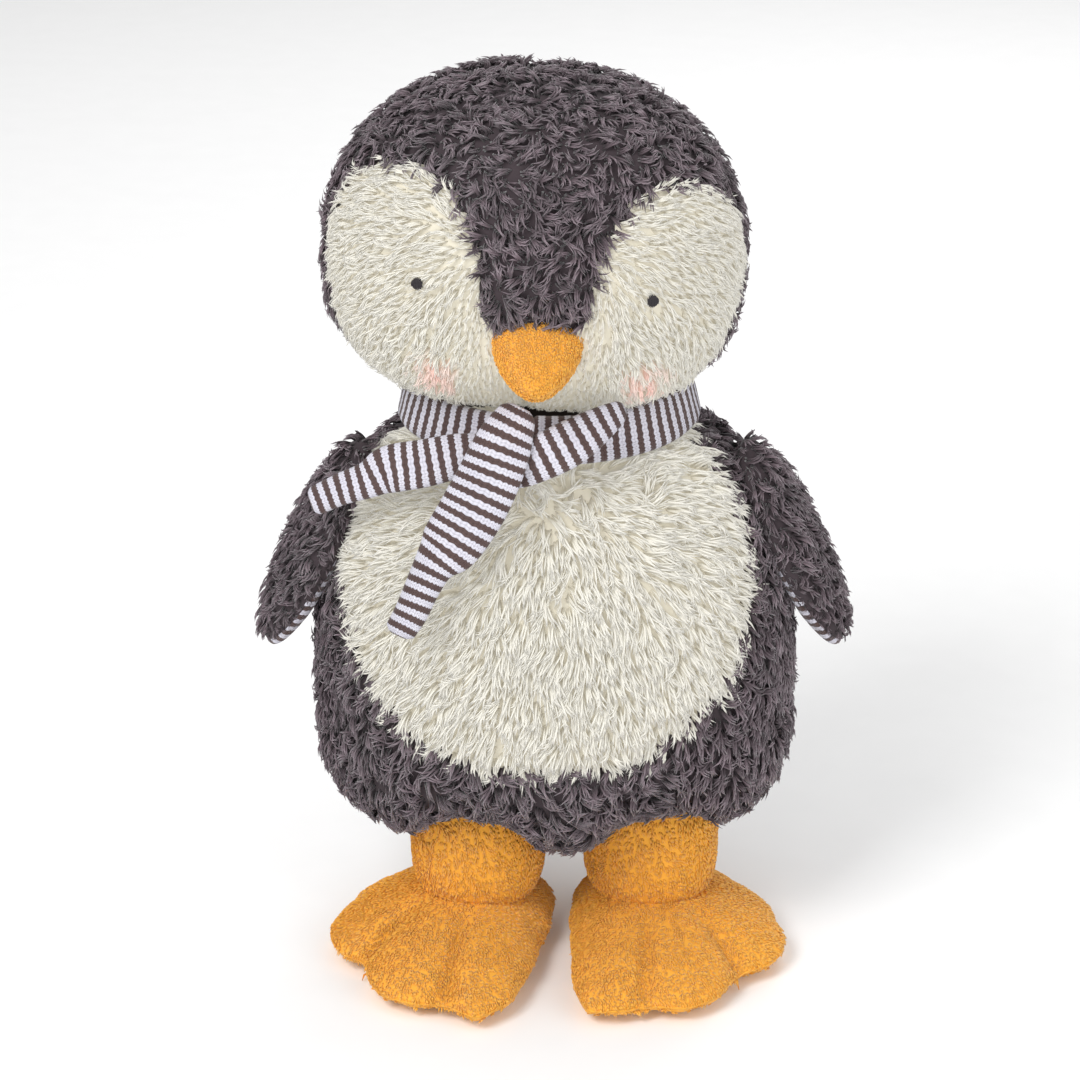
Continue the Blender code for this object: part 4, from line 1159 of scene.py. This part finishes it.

# %% [markdown]
# ## The scarf
# One strip of jersey goes round the neck and is tied in front, under the beak. The tied part is a
# knot with a folded loop beside it; a broad end hangs in front and a second one goes off to the side.
# Each is a strip along its own route, with stripes across it. The two hanging ends ride on parts of their
# own; the band and the knot ride on the root.

# %% The scarf
def toy(x, y, z):
    """A place given in millimetres from the toy's own axis."""
    return (x * MM, AXIS_Y + y * MM, z * MM)


ring_low, ring_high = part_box("scarf_band")
RING_CENTRE = (ring_low + ring_high) / 2
RING_X = (ring_high.x - ring_low.x) / 2 - 4.4 * MM
RING_Y = (ring_high.y - ring_low.y) / 2 - 4.4 * MM
ring_route, ring_facing = [], []
for step in range(25):
    turn = math.radians(-98 + 360 * step / 24)
    out = Vector((math.cos(turn), math.sin(turn), 0.25))
    sag = 2.5 * MM * max(-out.y, 0)
    ring_route.append((RING_CENTRE.x + RING_X * out.x, RING_CENTRE.y + RING_Y * out.y, 197.5 * MM - sag))
    ring_facing.append(tuple(out))

strips = {
    "scarf_band": (ring_route, ring_facing, [16 * MM] * 25, 8.4 * MM, "root", "gathered"),
    "scarf_tail_front": (
        [toy(-11, -55, 212), toy(-16, -60.5, 203), toy(-21.5, -62, 190), toy(-27.5, -62.5, 178),
         toy(-34, -63, 167.5), toy(-39, -63.5, 161), toy(-43, -64, 153), toy(-46.5, -64.5, 145),
         toy(-51, -64.5, 137)],
        [(0.1, -1, 0.25)] * 9, [v * MM for v in (11, 18, 20.5, 21, 19.5, 13.5, 11.5, 11, 10)],
        [v * MM for v in (3.2, 3.4, 3.4, 3.4, 3.8, 4.8, 5.0, 5.0, 4.5)], "scarf_front", "hung"),
    "scarf_tail_side": (
        [toy(-18, -52, 196), toy(-30, -50.5, 194), toy(-42, -47.5, 190), toy(-54, -43, 186),
         toy(-61, -41, 181.5), toy(-70, -38, 177), toy(-80, -35, 171)],
        [(-0.3, -1, 0.45)] * 7, [v * MM for v in (10, 14, 15.5, 15.5, 12, 10.5, 9.5)],
        [v * MM for v in (4.0, 3.6, 3.4, 3.4, 4.0, 4.4, 4.4)], "scarf_side", "hung"),
    "scarf_knot": (
        [toy(-19, -50, 190), toy(-14, -55, 191.5), toy(-5, -57, 195.5), toy(5, -56, 200.5),
         toy(15, -51.5, 205.5), toy(22, -45, 208)],
        [(-0.5, -1, 0.2), (-0.2, -1, 0.1), (0, -1, 0.1), (0.1, -1, 0.2), (0.3, -1, 0.3), (0.5, -1, 0.3)],
        [v * MM for v in (10, 14, 15, 15, 11, 6)],
        [v * MM for v in (6, 8.5, 8.5, 7, 5, 3.5)], "root", "folded"),
}
for node, (route, facing, widths, thickness, body, held) in strips.items():
    strip, cut, length = cloth_strip(node + "_jersey", route, facing, widths, thickness)
    finish_piece(strip, body, [node])
    flat_size = f"{cut / MM:.0f} by {length / MM:.0f} mm"
    print(strip.name, "is", flat_size, "and has", triangles_of(strip), "triangles")

# %% [markdown]
# ## Eyes, label and what is inside
# An eye is a small patch of satin stitch, a few dark threads side by side, sunk in the cream pile. The
# label, further down, is a blank folded tape. The fillings and the pouch get the finish of loose fibre
# and of plain woven cloth.

# %% Eyes
def thread_finish():
    material, graph, shader = new_finish("eye_thread", 0.55, 0.1)
    place = graph.node("ShaderNodeTexCoord", {}, {}, "Object")
    tone = graph.mix(graph.noise(place, 0.4 * MM), (0.012, 0.010, 0.012, 1), (0.035, 0.03, 0.034, 1))
    graph.tree.links.new(tone.socket, shader.inputs["Base Color"])
    return material


def thread_tube(bm, points, radius, sides=8):
    """A closed tube along a short line, rounded in at its ends."""
    rings = []
    count = len(points)
    for index, point in enumerate(points):
        ahead = (points[min(index + 1, count - 1)] - points[max(index - 1, 0)]).normalized()
        side = ahead.orthogonal().normalized()
        up = side.cross(ahead)
        reach = radius * (0.35 if index in (0, count - 1) else 1.0)
        rings.append([
            bm.verts.new(point + (side * math.cos(a) + up * math.sin(a)) * reach)
            for a in (2 * math.pi * corner / sides for corner in range(sides))])
    for low, high in zip(rings, rings[1:]):
        for corner in range(sides):
            after = (corner + 1) % sides
            bm.faces.new((low[corner], low[after], high[after], high[corner]))
    bm.faces.new(rings[0][::-1])
    bm.faces.new(rings[-1])


def tubes_object(name, lines, radius, finish):
    bm = bmesh.new()
    for line in lines:
        thread_tube(bm, [Vector(point) for point in line], radius)
    bmesh.ops.recalc_face_normals(bm, faces=bm.faces[:])
    mesh = bpy.data.meshes.new(name)
    bm.to_mesh(mesh)
    bm.free()
    mesh.shade_smooth()
    mesh.materials.append(finish)
    obj = bpy.data.objects.new(name, mesh)
    bpy.context.scene.collection.objects.link(obj)
    return obj


thread = thread_finish()
EYE_HALF = (1.8 * MM, 2.1 * MM)
for side in ("left", "right"):
    centre = Vector(eye_at[side])
    outward = (centre - Vector(HEAD_CENTRE)).normalized()
    outward = Vector((outward.x * 0.5, -1, 0.05)).normalized()
    right = outward.cross(Vector((0, 0, 1))).normalized()
    up = right.cross(outward)
    lines = []
    for stitch in range(7):
        place = (stitch / 3 - 1) * 0.86
        half = EYE_HALF[1] * math.sqrt(1 - place * place)
        start = centre + outward * 1.6 * MM + right * EYE_HALF[0] * place
        lines.append([
            start + up * half * t + outward * (1 - t * t) * 0.9 * MM for t in (-1, -0.6, 0, 0.6, 1)])
    eye = tubes_object(f"eye_{side}_stitches", lines, 0.36 * MM, thread)
    finish_piece(eye, "head", ["eye_" + side])

# %% [markdown]
# ## The toe stitches
# Each groove on a foot is a row of short stitches through the upper. They are dropped on the upper of
# the working model and sunk to where the thread pulls the pile down.

# %% Toe stitches
orange_thread, graph, shader = new_finish("orange_thread", 0.6, 0.1)
place = graph.node("ShaderNodeTexCoord", {}, {}, "Object")
tone = graph.mix(graph.noise(place, 0.5 * MM), (0.70, 0.25, 0.02, 1), (0.82, 0.34, 0.04, 1))
graph.tree.links.new(tone.socket, shader.inputs["Base Color"])
for side in ("left", "right"):
    for number in (1, 2):
        node = f"{side}_toe_stitch_{number}"
        low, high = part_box(node)
        surface = surface_of(side + "_foot_upper")
        ends = sorted((vert.co.copy() for vert in nodes[node].data.vertices), key=lambda co: co.y)
        front, rear = ends[0], ends[-1]
        lines = []
        for stitch in range(9):
            spots = [rear.lerp(front, (stitch + t) / 9) for t in (0.12, 0.5, 0.82)]
            tops = [surface.ray_cast(Vector((spot.x, spot.y, 0.1)), Vector((0, 0, -1)))[0] for spot in spots]
            if None in tops:
                continue
            sunk = (-2.6 * MM, -1.6 * MM, -2.6 * MM)
            lines.append([top + Vector((0, 0, rise)) for top, rise in zip(tops, sunk)])
        row = tubes_object(node + "_thread", lines, 0.4 * MM, orange_thread)
        finish_piece(row, side + "_foot", [node])

# %% The label
tape, graph, shader = new_finish("label_tape", 0.5, 0.15)
place = graph.node("ShaderNodeTexCoord", {}, {}, "Object")
height = graph.node("ShaderNodeSeparateXYZ", {}, {0: place}).also("Z")
rib = graph.maths("SINE", height * (2 * math.pi / (0.5 * MM)))
# Painted shade: the tape is lighter on the crest of each rib and darker in the groove between.
tone = graph.mix(rib * 0.5 + 0.5, (0.80, 0.79, 0.76, 1), (0.90, 0.89, 0.87, 1))
bump = graph.node("ShaderNodeBump", {}, {"Strength": 0.4, "Distance": 0.1 * MM, "Height": rib})
graph.tree.links.new(tone.socket, shader.inputs["Base Color"])
graph.tree.links.new(bump.socket, shader.inputs["Normal"])
low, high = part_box("care_label")
label_size = (high.x - low.x, high.z - low.z)
points, faces = [], []
ACROSS, DOWN = 8, 14
for row in range(DOWN + 1):
    fall = row / DOWN
    out = low.y - 2 * MM + 9 * MM * fall ** 0.7 + 0.8 * MM * math.sin(fall * 5)
    z = high.z - label_size[1] * fall * 0.97
    points += [
        (low.x + label_size[0] * c / ACROSS, out + 0.5 * MM * math.cos(c), z) for c in range(ACROSS + 1)]
for row in range(DOWN):
    for column in range(ACROSS):
        first = row * (ACROSS + 1) + column
        faces.append((first, first + ACROSS + 1, first + ACROSS + 2, first + 1))
label = new_object("care_label_tape", points, faces)
wall = label.modifiers.new("two_layers", "SOLIDIFY")
wall.thickness = 0.7 * MM
settled(label)
label.data.materials.append(tape)
label.data.shade_smooth()
finish_piece(label, "root", ["care_label"])

# %% [markdown]
# ## What is inside
# The fillings and the pouch are never seen on a whole toy. They keep the working model's forms.

# %% What is inside
def fibre_finish():
    material, graph, shader = new_finish("fibre_filling", 0.95, 0.3)
    place = graph.node("ShaderNodeTexCoord", {}, {}, "Object")
    fluff = graph.noise(place, 2.5 * MM, 6.0)
    tone = graph.mix(fluff, (0.74, 0.74, 0.73, 1), (0.92, 0.92, 0.91, 1))
    bump = graph.node("ShaderNodeBump", {}, {"Strength": 0.8, "Distance": 1.0 * MM, "Height": fluff})
    graph.tree.links.new(tone.socket, shader.inputs["Base Color"])
    graph.tree.links.new(bump.socket, shader.inputs["Normal"])
    return material


def woven_finish():
    material, graph, shader = new_finish("pouch_cloth", 0.9, 0.1)
    place = graph.node("ShaderNodeSeparateXYZ", {}, {0: graph.node("ShaderNodeTexCoord", {}, {}, "Object")})
    warp = graph.maths("SINE", place * (2 * math.pi / (1.1 * MM)))
    weft = graph.maths("SINE", place.also("Z") * (2 * math.pi / (1.1 * MM)))
    height = warp * weft * 0.5 + 0.5
    # Painted shade: the cloth is lighter where a thread rises over a crossing and darker where it dips.
    tone = graph.mix(height, (0.55, 0.51, 0.43, 1), (0.72, 0.68, 0.60, 1))
    bump = graph.node("ShaderNodeBump", {}, {"Strength": 0.5, "Distance": 0.3 * MM, "Height": height})
    graph.tree.links.new(tone.socket, shader.inputs["Base Color"])
    graph.tree.links.new(bump.socket, shader.inputs["Normal"])
    return material


inside_finishes = {"stuffing": fibre_finish(), "pouch": woven_finish(), "tube": dark_finish}
for name, node in nodes.items():
    if not node.hide_render:
        kind = next(word for word in inside_finishes if word in name)
        node.data.materials.clear()
        node.data.materials.append(inside_finishes[kind])
        print("kept inside:", name)
